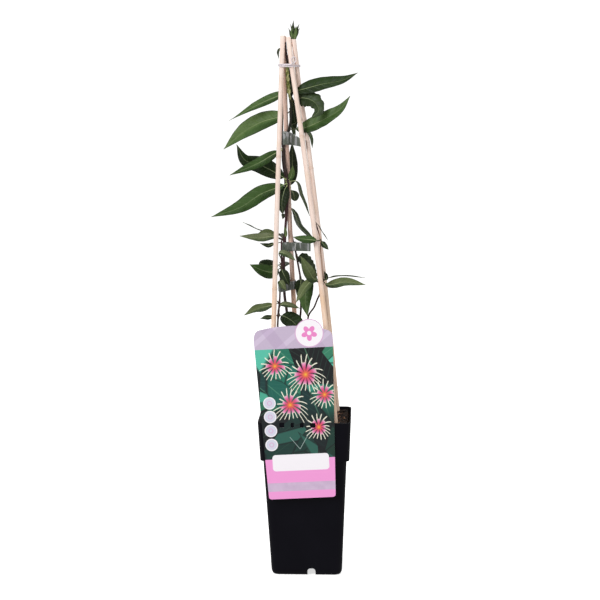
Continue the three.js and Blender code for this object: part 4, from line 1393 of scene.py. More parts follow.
def leaf_pattern(shader):
    """Masks of a blade: midrib, side veins, the swelling between them, margin and foot."""
    blade = shader.node("Attribute", {"attribute_name": "blade"}, output="Vector")
    t, s, across = shader.axes(blade)
    reach = abs(s)
    phase = (t * VEINS_A_BLADE - reach * 0.62 - reach * reach * 0.6).part()
    away = abs(phase - 0.5)
    side_vein = away.step(0.075, 0.015) * reach.step(1.0, 0.75)
    midrib = abs(across).step(0.55, 0.2)
    bulge = 1 - away.step(0.24, 0.0)
    return midrib, side_vein, bulge, reach, t.step(0.62, 0.1)


def leaf_tones(shader):
    """The leaf's own green, from its tone, with clouds of lighter and darker tissue."""
    tone = shader.node("Attribute", {"attribute_name": "tone"}, output="Fac")
    spot = shader.place()
    cloud = shader.noise(spot, 85, 3)
    cells = shader.noise(spot, 1400, 2)
    shade = tone + (cloud - 0.5) * 0.22 + (cells - 0.5) * 0.07
    # The near-black stop at 0.5 is partly the leaf's own dark green and partly painted shade:
    # leaves in the shade among the canes get tones close to it, and the painted shade of a blade's
    # downward half leads to it.
    colour = shader.ramp(
        shade, (0.0, linear(112, 120, 88)), (0.12, linear(94, 106, 66)), (0.24, linear(66, 82, 52)),
        (0.36, linear(42, 56, 30)), (0.5, linear(20, 32, 10)), (0.64, linear(34, 58, 15)),
        (0.82, linear(66, 92, 46)), (1.0, linear(92, 114, 64)))
    return colour, cloud, cells


# %% Upper and under side of a leaf
leaf_upper = Shader("leaf_upper", {"Specular IOR Level": 0.17})
midrib, side_vein, bulge, reach, foot = leaf_pattern(leaf_upper)
green, cloud, cells = leaf_tones(leaf_upper)
green = leaf_upper.mix(reach.step(0.86, 0.97) * 0.65, green, linear(16, 28, 10))
green = leaf_upper.mix(side_vein * 0.08, green, linear(126, 144, 96))
green = leaf_upper.mix(midrib * (0.22 + foot * 0.55), green, linear(160, 172, 128))
leaf_upper.feed("Base Color", green)
leaf_upper.feed("Roughness", 0.36 + cloud * 0.16 + side_vein * 0.05)
leaf_upper.bump(bulge * 0.6 + cells * 0.14 - side_vein * 0.12 - midrib * 0.5, 0.0004)

leaf_under = Shader("leaf_under", {"Specular IOR Level": 0.15})
midrib, side_vein, bulge, reach, foot = leaf_pattern(leaf_under)
green, cloud, cells = leaf_tones(leaf_under)
green = leaf_under.mix(0.32, green, linear(92, 110, 70))
green = leaf_under.mix((side_vein * 0.2).most(midrib * 0.4), green, linear(150, 160, 116))
leaf_under.feed("Base Color", green)
leaf_under.feed("Roughness", 0.55 + cloud * 0.15)
leaf_under.bump(side_vein * 0.7 + midrib - bulge * 0.5 + cells * 0.2, 0.0005)
print("leaf finishes:", leaf_upper.material.name, leaf_under.material.name)

# %% [markdown]
# One blade is modelled flat: a grid with an even thickness, its top in one finish and its underside
# and rim in another. A copy of it is then laid along each midrib. Every point of the blank knows
# its share of the length, its share of the half width and its side, and the line does the rest.

# %% The flat blank: x runs along it, y across it, z tells its two sides
ROWS, COLUMNS = 30, 12
bpy.ops.object.select_all(action="DESELECT")
bpy.ops.mesh.primitive_grid_add(x_subdivisions=ROWS, y_subdivisions=COLUMNS, size=2)
blank = bpy.context.object
blank.name = "leaf_blank"
apply_modifier(blank, "SOLIDIFY", thickness=2, offset=0)
blank.data.materials.append(leaf_upper.material)
blank.data.materials.append(leaf_under.material)
for polygon in blank.data.polygons:
    polygon.material_index = 0 if polygon.normal.z > 0.5 else 1
print("blank:", len(blank.data.polygons), "faces")

# %% Lay a leaf along its rib
BLADE = {"tip": 0.5, "base": 1.3, "fold": 0.22, "arch": 0.035, "thick": 0.5, "rim": 0.42,
         "uneven": 0.05, "fine": 0.35}


def blade_width(spec, t):
    """The width at share t of a blade, as a share of the greatest."""
    if spec["blunt"]:
        return math.sqrt(4 * t * (1 - t))
    low, broadest = spec["round"], spec["broadest"]
    high = low / broadest - low
    widest = broadest ** low * (1 - broadest) ** high
    return t ** low * (1 - t) ** high / widest


def leaf_frame(spec, line, share):
    """A point of the rib, with the directions along, across and out of the upper side."""
    forward = line.direction(share)
    face = Vector(spec["face"]).normalized()
    normal = (face - forward * face.dot(forward)).normalized()
    return line.at(share), forward, forward.cross(normal), normal


def blade_point(spec, frame_here, t, s, level, seed):
    """Where a point of the blank comes on the laid leaf, and how far from the rib it is."""
    middle, _, side, normal = frame_here
    narrow = BLADE["base"] + (BLADE["tip"] - BLADE["base"]) * t
    wide = max(narrow, spec["width"] * blade_width(spec, t))
    uneven = noise.noise(Vector((t * 9, s, seed)))
    ragged = uneven * BLADE["uneven"] * abs(s) * math.sin(math.pi * t)
    ragged += spec["teeth"] * abs(s) ** 3 * math.sin(46 * t + 3 * s)
    wide *= 1 + ragged
    crease = math.sqrt(s * s + 0.012) - 0.11
    fold = BLADE["fold"] * wide * crease / 2
    arch = BLADE["arch"] * wide * math.sin(math.pi * min(abs(s), 1))
    ripple = spec["wave"] * s * math.sin(9 * t + 2 * s) * wide / spec["width"]
    dimple = noise.noise(Vector((t * 14, s * 2, seed + 5)))
    fine = BLADE["fine"] * abs(s) ** 2 * dimple * wide / spec["width"]
    thick = BLADE["thick"] * (BLADE["rim"] if abs(s) > 0.99 else 0.7 + 0.3 * (1 - abs(s)))
    lift = fold + arch + ripple + fine + level * thick / 2
    return middle + side * (s * wide / 2) + normal * lift, s * wide / 2


# Painted shade: the half of a blade that faces down, most near its foot, has its tone pulled
# towards the darkest tone.
DARKEST = 0.5
PAINTED_SHADE_HALF = 0.55
CLOSER_AT_BASE = 1.15


def laid_leaf(spec, seed):
    """A copy of the blank laid along a leaf's rib, with painted shade on the half that faces down.
    """
    line = Line(spec["rib"])
    start = spec["stalk"] / line.length
    made = bpy.data.objects.new("leaf", blank.data.copy())
    bpy.context.collection.objects.link(made)
    frames, shares, tones = {}, [], []
    for vertex in made.data.vertices:
        flat, s, level = vertex.co
        t = ((flat + 1) / 2) ** CLOSER_AT_BASE
        key = round(flat, 4)
        if key not in frames:
            frames[key] = leaf_frame(spec, line, start + (1 - start) * t)
        place, across = blade_point(spec, frames[key], t, s, level, seed)
        vertex.co = place * MM
        shares.append((t, s, across))
        # Painted shade: where this half faces down, the point's tone is darkened.
        turned_down = max(0, -frames[key][2].z * s)
        darker = PAINTED_SHADE_HALF * min(1, 2.5 * turned_down) * (1.2 - t)
        tones.append(spec["tone"] + (DARKEST - spec["tone"]) * darker)
    keep(made, "blade", shares)
    keep(made, "tone", tones)
    return made


lengths = [Line(spec["rib"]).length for leaves in LEAVES.values() for spec in leaves]
print("leaves with their stalks:", round(min(lengths)), "to", round(max(lengths)), "mm")


# %% [markdown]
# The stalk of a leaf runs on under the blade as a raised midrib, thinner and thinner. Where a stalk
# meets its stem there is a small swelling, and on the stronger leaves a bud sits in the angle.

# %% Stalks and midribs, as radii in millimetres
STALK = {"foot": 0.74, "narrowing": 0.1, "steps": 21}
MIDRIB = {"foot": 0.6, "narrowing": 0.5, "least": 0.1, "drop": 0.3, "end": 0.93}


def stalk_run(spec):
    """The bare stalk and the midrib beneath the blade, as one tube."""
    line = Line(spec["rib"])
    start = spec["stalk"] / line.length
    slim = min(1, 0.45 + spec["width"] / 18)
    run = []
    for k in range(STALK["steps"] + 1):
        share = MIDRIB["end"] * k / STALK["steps"]
        middle, _, _, normal = leaf_frame(spec, line, share)
        if share < start:
            radius = STALK["foot"] - STALK["narrowing"] * share / start
            drop = 0
        else:
            radius = MIDRIB["foot"] - MIDRIB["narrowing"] * max(0, (share - start) / (1 - start))
            drop = MIDRIB["drop"]
        run.append((middle - normal * drop, max(slim * radius, MIDRIB["least"])))
    return run


# %% Buds and stems
BUD_STEP = 0.75
BUD_RADII = (0.35, 0.75, 0.85, 0.65, 0.32, 0.08)
STEM_STEP = 1.6
NODE_SWELL = {"height": 0.38, "reach": 2.0, "most": 0.5}


def bud_run(spec):
    """A small pointed bud just above the foot of a stalk."""
    line = Line(spec["rib"])
    away = line.direction(0)
    rise = (away * 0.6 + Vector((0, 0, 0.9))).normalized()
    foot = line.at(1.2 / line.length) + Vector((0, 0, 0.5))
    return [(foot + rise * BUD_STEP * k, radius) for k, radius in enumerate(BUD_RADII)]


def stem_run(name):
    """A stem with a swelling where each leaf leaves it."""
    thick, thin, _ = STEMS[name]
    line = stem_lines[name]
    bases = [Vector(spec["rib"][0]) for spec in LEAVES[name]]
    steps = round(line.length / STEM_STEP)
    run = []
    for k in range(steps + 1):
        point = line.at(k / steps)
        swell = sum(NODE_SWELL["height"] * bell((point - base).length, NODE_SWELL["reach"])
                    for base in bases)
        grown = thick + (thin - thick) * k / steps
        rounded_off = min(1, 0.35 + 0.65 * (steps - k) / 3)
        run.append((point, (grown + min(swell, NODE_SWELL["most"])) * rounded_off))
    return run


# %% [markdown]
# The main stem has company: two thin shoots climb beside it below the upper tape and one past it, a
# young pair is wound together in front of its upper part, and a dried one ends between the tops of
# the canes. The one past the tape is dark and stands in for the shadow that the front left cane
# casts on the cane behind it.

# %% The shoots beside the main stem
TWIST = {"from": 589, "to": 633, "apart": 1.05, "turn": 15, "radius": 1.3,
         "aside": -0.6, "forward": 6.4, "steps": 44}


def beside(points, thick, thin):
    """A shoot that tapers along a line through points."""
    line = Line(points)
    steps = round(line.length / STEM_STEP)
    return [(line.at(k / steps), thick + (thin - thick) * k / steps) for k in range(steps + 1)]


def twisted_run(phase):
    """One of two shoots wound round each other in front of the main stem, grown into it below."""
    run = []
    for k in range(TWIST["steps"] + 1):
        share = k / TWIST["steps"]
        z = TWIST["from"] + (TWIST["to"] - TWIST["from"]) * share
        middle, _ = stem_rod("main", z)
        ahead = min(1, 6 * share)
        angle = 2 * math.pi * z / TWIST["turn"] + phase
        aside = TWIST["apart"] * math.cos(angle) + TWIST["aside"]
        forward = TWIST["apart"] * math.sin(angle) - TWIST["forward"]
        place = Vector((middle.x + aside * ahead, middle.y + forward * ahead, z))
        run.append((place, TWIST["radius"] * min(1, 0.5 + 3 * share)))
    return run


SHOOTS = [
    beside([(-21, 25.7, 436), (-24.5, 23.3, 442), (-25.6, 19.5, 449), (-25.6, 14.5, 463),
            (-25.6, 11.5, 478), (-25.8, 10.4, 492), (-26.4, 10.6, 508),
            (-27.6, 10, 530)], 1.3, 1.5),
    beside([(-23.6, 12.5, 484), (-26.6, 11.5, 499), (-28.6, 10.8, 514),
            (-28.9, 9.4, 529)], 1.5, 1.4),
    # A dark shoot behind the two left canes, standing in for the shadow that the front left cane
    # casts on the cane behind it.
    beside([(-28.2, 9.5, 527), (-29.4, 14, 534), (-29.6, 16.6, 543), (-29.2, 16.8, 560),
            (-28.9, 16, 580), (-28.6, 15, 596)], 1.2, 0.6),
    beside([(-21.7, 4.4, 634), (-23.2, 1.6, 642), (-24, 0.2, 650), (-24.5, -0.4, 660)], 1.7, 0.8),
]
twist = tubes("vine_main_twist", [twisted_run(0), twisted_run(math.pi)], sides=10)
print(len(SHOOTS) + 2, "shoots beside the main stem")

# %% [markdown]
# The bark is brown and stringy at the foot, purple-brown higher up, dark green to brown among the
# canes' upper ends and green at the tip, so a ramp follows the height. One stretch of the right
# stem is bleached, nearly as pale as the cane that it climbs along. Young shoots are pale green,
# and stalks are greener than bark.

# %% Stem and stalk finishes
stem_bark = Shader("stem_bark", {"Specular IOR Level": 0.4})
spot = stem_bark.place()
height = stem_bark.axes(spot)[2]
thread = stem_bark.noise(stem_bark.stretched(spot, 1, 1, 0.06), 1300, 3, 0.6)
patch = stem_bark.noise(spot, 60, 2)
climb = (height - 0.19) / 0.49 + (patch - 0.5) * 0.06
aside = stem_bark.axes(spot)[0]
bleached = aside.step(0.0125, 0.0145) * height.step(0.369, 0.376) * height.step(0.432, 0.422)
colour = stem_bark.ramp(
    climb, (0.0, linear(92, 72, 54)), (0.28, linear(52, 32, 28)), (0.5, linear(62, 24, 32)),
    (0.64, linear(50, 30, 30)), (0.72, linear(22, 20, 12)), (0.82, linear(34, 38, 12)),
    (0.87, linear(60, 78, 30)), (0.9, linear(40, 20, 12)), (0.955, linear(40, 20, 12)),
    (0.98, linear(74, 70, 36)), (1.0, linear(118, 142, 70)))
colour = stem_bark.mix(thread.step(0.5, 0.8) * 0.25, colour, linear(128, 108, 88))
stem_bark.feed("Base Color", stem_bark.mix(bleached * 0.9, colour, linear(196, 162, 142)))
stem_bark.feed("Roughness", 0.45 + thread * 0.2)
stem_bark.bump(thread, 0.0002)

young_shoot = Shader("young_shoot", {"Specular IOR Level": 0.3})
spot = young_shoot.place()
cloud = young_shoot.noise(spot, 170, 2)
green = young_shoot.mix(cloud.step(0.4, 0.62), linear(122, 134, 62), linear(204, 206, 148))
young_shoot.feed("Base Color", green)
young_shoot.feed("Roughness", 0.4 + cloud * 0.2)
young_shoot.bump(young_shoot.noise(spot, 900, 2), 0.0001)

stalk_skin = Shader("stalk_skin", {"Specular IOR Level": 0.4})
spot = stalk_skin.place()
height = stalk_skin.axes(spot)[2]
cloud = stalk_skin.noise(spot, 120, 2)
young = height.step(0.44, 0.49) * height.step(0.55, 0.52)
green = stalk_skin.mix(young, linear(62, 66, 36), linear(168, 180, 122))
reddened = stalk_skin.mix(cloud.step(0.5, 0.72) * 0.4, green, linear(96, 66, 50))
stalk_skin.feed("Base Color", reddened)
stalk_skin.feed("Roughness", 0.42 + cloud * 0.2)
stalk_skin.bump(stalk_skin.noise(spot, 900, 2), 0.0001)

# %% Build the four plants
BUD_FROM_WIDTH = 11

for number, name in enumerate(LEAVES):
    laid = [laid_leaf(spec, 10 * number + place) for place, spec in enumerate(LEAVES[name])]
    leaves = join(f"vine_{name}_leaves", laid)
    finish_piece(leaves, [f"vine_{name}"], smooth=50)
    runs = [stalk_run(spec) for spec in LEAVES[name]]
    runs += [bud_run(spec) for spec in LEAVES[name] if spec["width"] >= BUD_FROM_WIDTH]
    stalks = tubes(f"vine_{name}_stalks", runs, sides=8)
    finish_piece(stalks, [f"vine_{name}"], [stalk_skin], smooth=60)
    shoots = SHOOTS if name == "main" else []
    stem = tubes(f"vine_{name}_stem", [stem_run(name), *shoots], sides=12)
    finish_piece(stem, [f"vine_{name}"], [stem_bark], smooth=60)
finish_piece(twist, ["vine_main"], [young_shoot], smooth=60)
bpy.data.objects.remove(blank)

# %% [markdown]
# ## The wire at the top
#
# A white coated wire is wound twice round all four canes and its end is bent up into a loop. It is
# pulled tight, so at each height it touches the outermost cane in every direction. The same rule
# gives the path of the tapes further down.

# %% The path of something pulled round upright rods
CLEARANCE = 0.35


def wrap_point(rods, angle, offset):
    """Where a cord round some rods touches in a direction. A rod is (middle, radius)."""
    outward = Vector((math.cos(angle), math.sin(angle)))
    middle, radius = max(rods, key=lambda rod: rod[0].dot(outward) + rod[1])
    return middle + outward * (radius + offset)


def cane_rod(name, z):
    """The middle and the radius of a cane at a height."""
    return cane_at(name, z), cane_radius(z)


# %% The wire's winding and its loop
WIRE = {"radius": 0.58, "turns": 2.1, "pitch": 1.5, "z": 630, "start": -0.5, "off_canes": 1.4}
LOOP_STEPS = [
    (3, -1, 1.4), (5, -1.2, 4.6), (3.6, -1.6, 8.6), (0.8, -1.9, 8.2), (-0.6, -2.1, 4.4),
    (0.8, -2.3, 0.6),
]
STEPS_A_TURN = 20
RUN_STEP = 0.9

winding = []
for k in range(int(WIRE["turns"] * STEPS_A_TURN) + 1):
    angle = WIRE["start"] - math.pi / 2 + 2 * math.pi * k / STEPS_A_TURN
    z = WIRE["z"] + WIRE["pitch"] * k / STEPS_A_TURN
    rods = [cane_rod(name, z) for name in CANES]
    touch = wrap_point(rods, angle, WIRE["off_canes"] * CLEARANCE + WIRE["radius"])
    winding.append(Vector((touch.x, touch.y, z)))
end = winding[-1]
loop = [end] + [end + Vector(step) for step in LOOP_STEPS] + [winding[STEPS_A_TURN]]


def even_run(points, radius):
    """A line through points as an evenly divided run for a tube."""
    line = Line(points)
    count = max(2, round(line.length / RUN_STEP))
    return [(line.at(k / count), radius) for k in range(count + 1)]


print("the winding climbs", round(winding[-1].z - winding[0].z, 1), "mm")

# %% [markdown]
# The wire's coat is glossy white plastic, grey in places from handling. A little noise in its
# colour and its gloss is enough at this size.

# %% Wire finish and the wire
coated_wire = Shader("coated_wire", {"Specular IOR Level": 0.5, "Coat Roughness": 0.2})
spot = coated_wire.place()
grime = coated_wire.noise(spot, 420, 3)
coated_wire.feed("Base Color", coated_wire.mix(
    grime.step(0.42, 0.7) * 0.6, linear(236, 226, 231), linear(150, 140, 145)))
coated_wire.feed("Roughness", 0.3 + grime * 0.2)
coated_wire.bump(grime, 0.00008)

runs = [even_run(winding, WIRE["radius"]), even_run(loop, WIRE["radius"])]
wire = tubes("coated_wire_tie", runs, sides=10)
finish_piece(wire, ["wire_tie"], [coated_wire], smooth=60)

# %% [markdown]
# ## The tapes and their staples
#
# Grower's tape is a thin grey-green band. It goes round a cane and the stems beside it, its two
# ends are laid together and a staple is pressed through both. The band is drawn as a line in plan,
# extruded upwards, and given its thickness. Its cut ends part a little, as they do on real tape.

# %% Tape sizes and paths, in millimetres
TAPE = {"thick": 0.45, "height": 11, "levels": 6, "off_rods": 1.5, "opening": 0.45, "edge": 0.1}
TAIL = {"from": Vector((3, -1.9)), "steps": 8, "apart": 0.3, "parting": 0.35, "wander": 0.25,
        "shorter": 1.2, "staple_at": 3}
TAPES = {
    "upper": {
        "z": 542.5, "stems": ["main"], "tail": Vector((-1.5, 3.5)), "lean": -7, "spread": 0.5,
    },
    "middle": {
        "z": 406, "stems": ["back", "main"], "tail": Vector((6, 17)), "lean": 0, "spread": 0,
    },
    "lower": {
        "z": 358, "stems": ["left", "main"], "tail": Vector((-8, 19)), "lean": -5, "spread": 0,
    },
}
WRAP_STEPS = 44


def tape_rods(spec, z):
    """The stems that a tape holds and its cane, the cane last, at a height."""
    return [stem_rod(name, z) for name in spec["stems"]] + [cane_rod("cane_back_left", z)]


def tape_plan(spec):
    """The band seen from above: along one tail, round the rods and back along the other.

    The rods lean a little, so the band goes round where they are at its lower edge, its middle
    and its upper edge, each moved back by the lean that the whole band is given.
    """
    hub = tape_rods(spec, spec["z"])[-1][0]
    rods = []
    for rise in (-TAPE["height"] / 2, 0, TAPE["height"] / 2):
        level = tape_rods(spec, spec["z"] + rise)
        rods += [(middle - (level[-1][0] - hub), radius) for middle, radius in level]
    start = hub + TAIL["from"]
    along = (spec["tail"] - start).normalized()
    out = Vector((along.y, -along.x))
    reach = (spec["tail"] - start).length
    leave = math.atan2(TAIL["from"].y, TAIL["from"].x)

    def tail(side):
        """One end of the band, from its cut edge to the rods. The second is a little shorter."""
        ends = []
        for k in range(TAIL["steps"] + 1):
            share = 1 - k / TAIL["steps"]
            apart = TAIL["apart"] + TAIL["parting"] * max(0, share - 0.6) ** 2 * 6
            wander = TAIL["wander"] * math.sin(5 * share + side)
            ends.append(start + along * (reach - (side < 0) * TAIL["shorter"]) * share
                        + out * (side * apart + wander * share))
        return ends

    plan = tail(1)[:-1]
    for k in range(WRAP_STEPS + 1):
        angle = leave - TAPE["opening"] - (2 * math.pi - 2 * TAPE["opening"]) * k / WRAP_STEPS
        plan.append(wrap_point(rods, angle, TAPE["off_rods"] * CLEARANCE + TAPE["thick"] / 2))
    plan += list(reversed(tail(-1)))[1:]
    return plan, start, along, reach


print("a tape goes round", [len(tape_rods(spec, spec["z"])) for spec in TAPES.values()], "rods")


# %% Make a tape
def upright_band(name, plan, low):
    """A plan drawn at the band's lower edge and extruded upwards, level by level."""
    band = open_curve(name)
    spline = band.data.splines.new("POLY")
    spline.points.add(len(plan) - 1)
    for corner, point in zip(spline.points, plan):
        corner.co = (point.x * MM, point.y * MM, low * MM, 1)
    work_on(band)
    bpy.ops.object.convert(target="MESH")
    band = bpy.context.object
    edit(band)
    rise = TAPE["height"] / TAPE["levels"] * MM
    for _ in range(TAPE["levels"]):
        bpy.ops.mesh.extrude_region_move(TRANSFORM_OT_translate={"value": (0, 0, rise)})
    work_on(band)
    return band


def make_tape(name):
    """A band leant with its cane, with its tail hanging, and given its thickness."""
    spec = TAPES[name]
    plan, start, along, reach = tape_plan(spec)
    low = spec["z"] - TAPE["height"] / 2
    band = upright_band(f"tape_band_{name}", plan, low)
    lower = tape_rods(spec, low)[-1][0]
    upper = tape_rods(spec, low + TAPE["height"])[-1][0]
    cane_lean = (upper - lower) / TAPE["height"]
    for vertex in band.data.vertices:
        flat = Vector((vertex.co.x, vertex.co.y)) / MM
        out_along = max(0, (flat - start).dot(along)) / reach
        above = vertex.co.z / MM - spec["z"]
        shift = cane_lean * above * (1 - out_along)
        drop = spec["lean"] * out_along + above * spec["spread"] * (1 - min(1, out_along * 1.5))
        vertex.co += Vector((shift.x, shift.y, drop)) * MM
    apply_modifier(band, "SOLIDIFY", thickness=TAPE["thick"] * MM, offset=0)
    edit(band)
    bpy.ops.mesh.normals_make_consistent(inside=False)
    work_on(band)
    apply_modifier(band, "BEVEL", width=TAPE["edge"] * MM, segments=2, limit_method="ANGLE",
                   angle_limit=math.radians(60))
    return band


# %% [markdown]
# Grower's tape is soft, shiny plastic with creases across the band and fine scratches along it. The
# creases carry a painted highlight and a painted shade in the colour. It isn't clear enough to see
# through, so a coat over a grey-green does it.

# %% Tape finish and the three tapes
grower_tape = Shader("grower_tape", {"Specular IOR Level": 0.8, "Coat Roughness": 0.08})
spot = grower_tape.place()
cloud = grower_tape.noise(spot, 160, 3)
scratch = grower_tape.noise(grower_tape.stretched(spot, 0.25, 0.25, 1), 2400, 2)
crease = grower_tape.noise(grower_tape.stretched(spot, 1, 1, 0.2), 240, 2, 0.4)
colour = grower_tape.mix(cloud, linear(78, 86, 76), linear(104, 112, 102))
# Painted highlight and painted shade: the crease streaks are made lighter and darker in the colour
# itself.
colour = grower_tape.mix(crease.step(0.56, 0.64) * 0.6, colour, linear(196, 197, 202))
colour = grower_tape.mix(crease.step(0.44, 0.34) * 0.4, colour, linear(62, 68, 60))
grower_tape.feed("Base Color", grower_tape.mix(scratch.step(0.62, 0.75) * 0.3, colour,
                                               linear(132, 140, 130)))
grower_tape.feed("Roughness", 0.14 + cloud * 0.14)
grower_tape.feed("Coat Weight", 0.4 + cloud * 0.3)
grower_tape.bump(scratch * 0.1 + cloud * 0.4 + crease * 1.2, 0.0007)

for name in TAPES:
    finish_piece(make_tape(name), [f"tape_tie_{name}"], [grower_tape], smooth=40)

# %% [markdown]
# A staple is one bent wire: its crown lies on the front of the tape, its legs go through, and its
# feet are folded in behind. It is drawn as a path whose corners are rounded, and thinned at its
# ends.

# %% Staples
STAPLE = {"radius": 0.5, "end": 0.8, "height": 8, "foot": 1.5, "tail": 1.1, "bend": 0.45,
          "bend_steps": 4}


def staple_run(spec):
    """The path of the wire, its two corners on each side rounded."""
    hub = cane_rod("cane_back_left", spec["z"])[0]
    start = Vector((*(hub + TAIL["from"]), spec["z"]))
    end = Vector((*spec["tail"], spec["z"] + spec["lean"]))
    along = (end - start).normalized()
    middle = start + along * TAIL["staple_at"]
    out = Vector((along.y, -along.x, 0)).normalized()
    up = Vector((0, 0, 1))
    reach = STAPLE["tail"] / 2 + CLEARANCE + STAPLE["radius"]
    half = STAPLE["height"] / 2
    corners = [(-reach, STAPLE["foot"] - half), (-reach, -half), (reach, -half), (reach, half),
               (-reach, half), (-reach, half - STAPLE["foot"])]
    path = [middle + out * a + up * b for a, b in corners]
    run = [(path[0], STAPLE["radius"] * STAPLE["end"])]
    for before, corner, after in zip(path, path[1:], path[2:]):
        into = (corner - before).normalized()
        away = (after - corner).normalized()
        for k in range(STAPLE["bend_steps"] + 1):
            share = k / STAPLE["bend_steps"]
            bent = (corner - into * STAPLE["bend"] * (1 - share) ** 2
                    + away * STAPLE["bend"] * share ** 2)
            run.append((bent, STAPLE["radius"]))
    run.append((path[-1], STAPLE["radius"] * STAPLE["end"]))
    return run


bright_steel = Shader("bright_steel", {"Metallic": 0.55})
wear = bright_steel.noise(bright_steel.place(), 500, 3)
steel = bright_steel.mix(wear, linear(246, 246, 242), linear(206, 206, 202))
bright_steel.feed("Base Color", steel)
bright_steel.feed("Roughness", 0.22 + wear * 0.2)
bright_steel.bump(wear, 0.00005)

for name, spec in TAPES.items():
    staple = tubes(f"staple_wire_{name}", [staple_run(spec)], sides=8)
    finish_piece(staple, [f"staple_{name}"], [bright_steel], smooth=60)

# %% [markdown]
# ## The hang-on label
#
# The card is a sheet of printed plastic, and its solid already has the right outline, windows and
# hooks, so only its finish changes. The print is drawn with formulas in the card's own millimetres:
# u runs along the card from its middle and v runs up it from its lower edge. It shows a generic
# garden picture, leaves with five heads of trumpet flowers, with a lilac head and a pink foot. Each
# badge holds a plain ring and the disc a plain flower, and the panel and the band are left bare.

# %% The card's own coordinates
CARD_FOOT = (-1.9, 102)
CARD_TURN = math.radians(3)
CARD_FRONT = -58.4

card_print = Shader("printed_card", {"Specular IOR Level": 0.45, "Coat Roughness": 0.12})
spot = card_print.place()
x, y, z = card_print.axes(spot)
along = x * 1000 - CARD_FOOT[0]
above = z * 1000 - CARD_FOOT[1]
u = along * math.cos(CARD_TURN) + above * math.sin(CARD_TURN)
v = above * math.cos(CARD_TURN) - along * math.sin(CARD_TURN)
print("card coordinates ready")


# %% Plain shapes as masks, in millimetres
SPOT_BLUR = 0.25
BOX_BLUR = 0.2


def distance(du, dv):
    """How far a point is from the origin of du and dv."""
    return (du * du + dv * dv).root()


def round_spot(u, v, radius):
    """1 inside a circle round the origin of u and v."""
    return distance(u, v).step(radius + SPOT_BLUR, radius - SPOT_BLUR)


def round_box(u, v, half_u, half_v, corner):
    """1 inside a box with rounded corners round the origin of u and v."""
    du = (abs(u) - (half_u - corner)).most(0)
    dv = (abs(v) - (half_v - corner)).most(0)
    return distance(du, dv).step(corner + BOX_BLUR, corner - BOX_BLUR)


def thin_line(u, v, a, b, half):
    """1 along a thin straight line from a to b."""
    run = Vector(b) - Vector(a)
    unit = run.normalized()
    du, dv = u - a[0], v - a[1]
    forward = du * unit.x + dv * unit.y
    aside = abs(dv * unit.x - du * unit.y)
    ends = forward.step(-BOX_BLUR, BOX_BLUR)
    ends = ends * forward.step(run.length + BOX_BLUR, run.length - BOX_BLUR)
    return aside.step(half + 0.15, half - 0.05) * ends


# %% [markdown]
# The picture's ground is a heap of leaves. Cells of a Voronoi pattern, drawn out long and each
# given a rib down its middle, read as leaves, and three layers of them turned and sized
# differently hide that they are cells.

# %% The leafy ground of the picture
PRINTED_LEAVES = [
    # turn, width in millimetres, seed
    (0.6, 17, 0.0),
    (-0.75, 23, 4.0),
    (1.9, 30, 9.0),
]
LEAF_LENGTH = 0.42


def leaf_cells(shader, u, v, turn, across, seed):
    """Pointed cells like overlapping leaves: their colour, and their ribs."""
    c, s = math.cos(turn), math.sin(turn)
    length = (u * c + v * s) * (LEAF_LENGTH / across)
    width = (v * c - u * s) / across
    place = shader.node("CombineXYZ", None, {0: length, 1: width, 2: seed})
    cells = {"feature": "F1", "voronoi_dimensions": "2D"}
    inputs = {"Vector": place, "Scale": 1.0, "Randomness": 0.9}
    kind = shader.axes(shader.node("TexVoronoi", cells, inputs, output="Color"))[0]
    middle = shader.axes(shader.node("TexVoronoi", cells, inputs, output="Position"))
    rib = abs(width - middle[1])
    ahead = length - middle[0]
    side_ribs = abs((ahead * 7 - rib * 4).part() - 0.5)
    edges = dict(cells, feature="DISTANCE_TO_EDGE")
    edge = shader.node("TexVoronoi", edges, inputs, output="Distance")
    return kind, rib.step(0.035, 0.01), side_ribs.step(0.1, 0.02), edge


deep, green_a, green_b = linear(4, 10, 14), linear(22, 116, 98), linear(88, 196, 170)
moss, shade_green = linear(40, 108, 74), linear(10, 54, 54)
ground = None
for turn, across, seed in PRINTED_LEAVES:
    kind, rib, side_ribs, edge = leaf_cells(card_print, u, v, turn, across, seed)
    tone = card_print.ramp(
        kind, (0.1, deep), (0.26, shade_green), (0.46, green_a), (0.66, moss), (0.9, green_b))
    tone = card_print.mix(side_ribs * 0.06, tone, linear(120, 190, 160))
    tone = card_print.mix(rib * 0.3, tone, linear(120, 190, 150))
    tone = card_print.mix(edge.step(0.07, 0.0) * 0.8, tone, deep)
    if ground is None:
        ground = tone
    else:
        over = (kind * 7.3).part().step(0.5, 0.54)
        ground = card_print.mix(over, ground, tone)
ground = card_print.mix(v.step(118, 96) * 0.8, ground, linear(6, 14, 18))
print("leafy ground drawn")

# %% [markdown]
# A honeysuckle's flowers are thin trumpets that spread from one point. In formulas that is an
# angle cut into equal parts: near the middle line of each part it is trumpet, and beyond the
# trumpets only a hair's width of it is stamen.

# %% Five heads of trumpet flowers
HEADS = [
    # middle, radius, number of trumpets, turn
    (12, 154, 22, 11, 0.2),
    (-25, 166, 18, 9, 0.9),
    (34, 128, 17, 9, 0.5),
    (-9, 117, 20, 10, 1.4),
    (25, 88, 16, 9, 0.1),
]
TRUMPET_END = 0.66
PETAL_STOPS = (
    (0.0, linear(252, 196, 70)), (0.16, linear(240, 128, 62)), (0.34, linear(226, 84, 92)),
    (0.62, linear(228, 92, 146)), (0.86, linear(240, 160, 200)), (1.0, linear(252, 232, 214)),
)


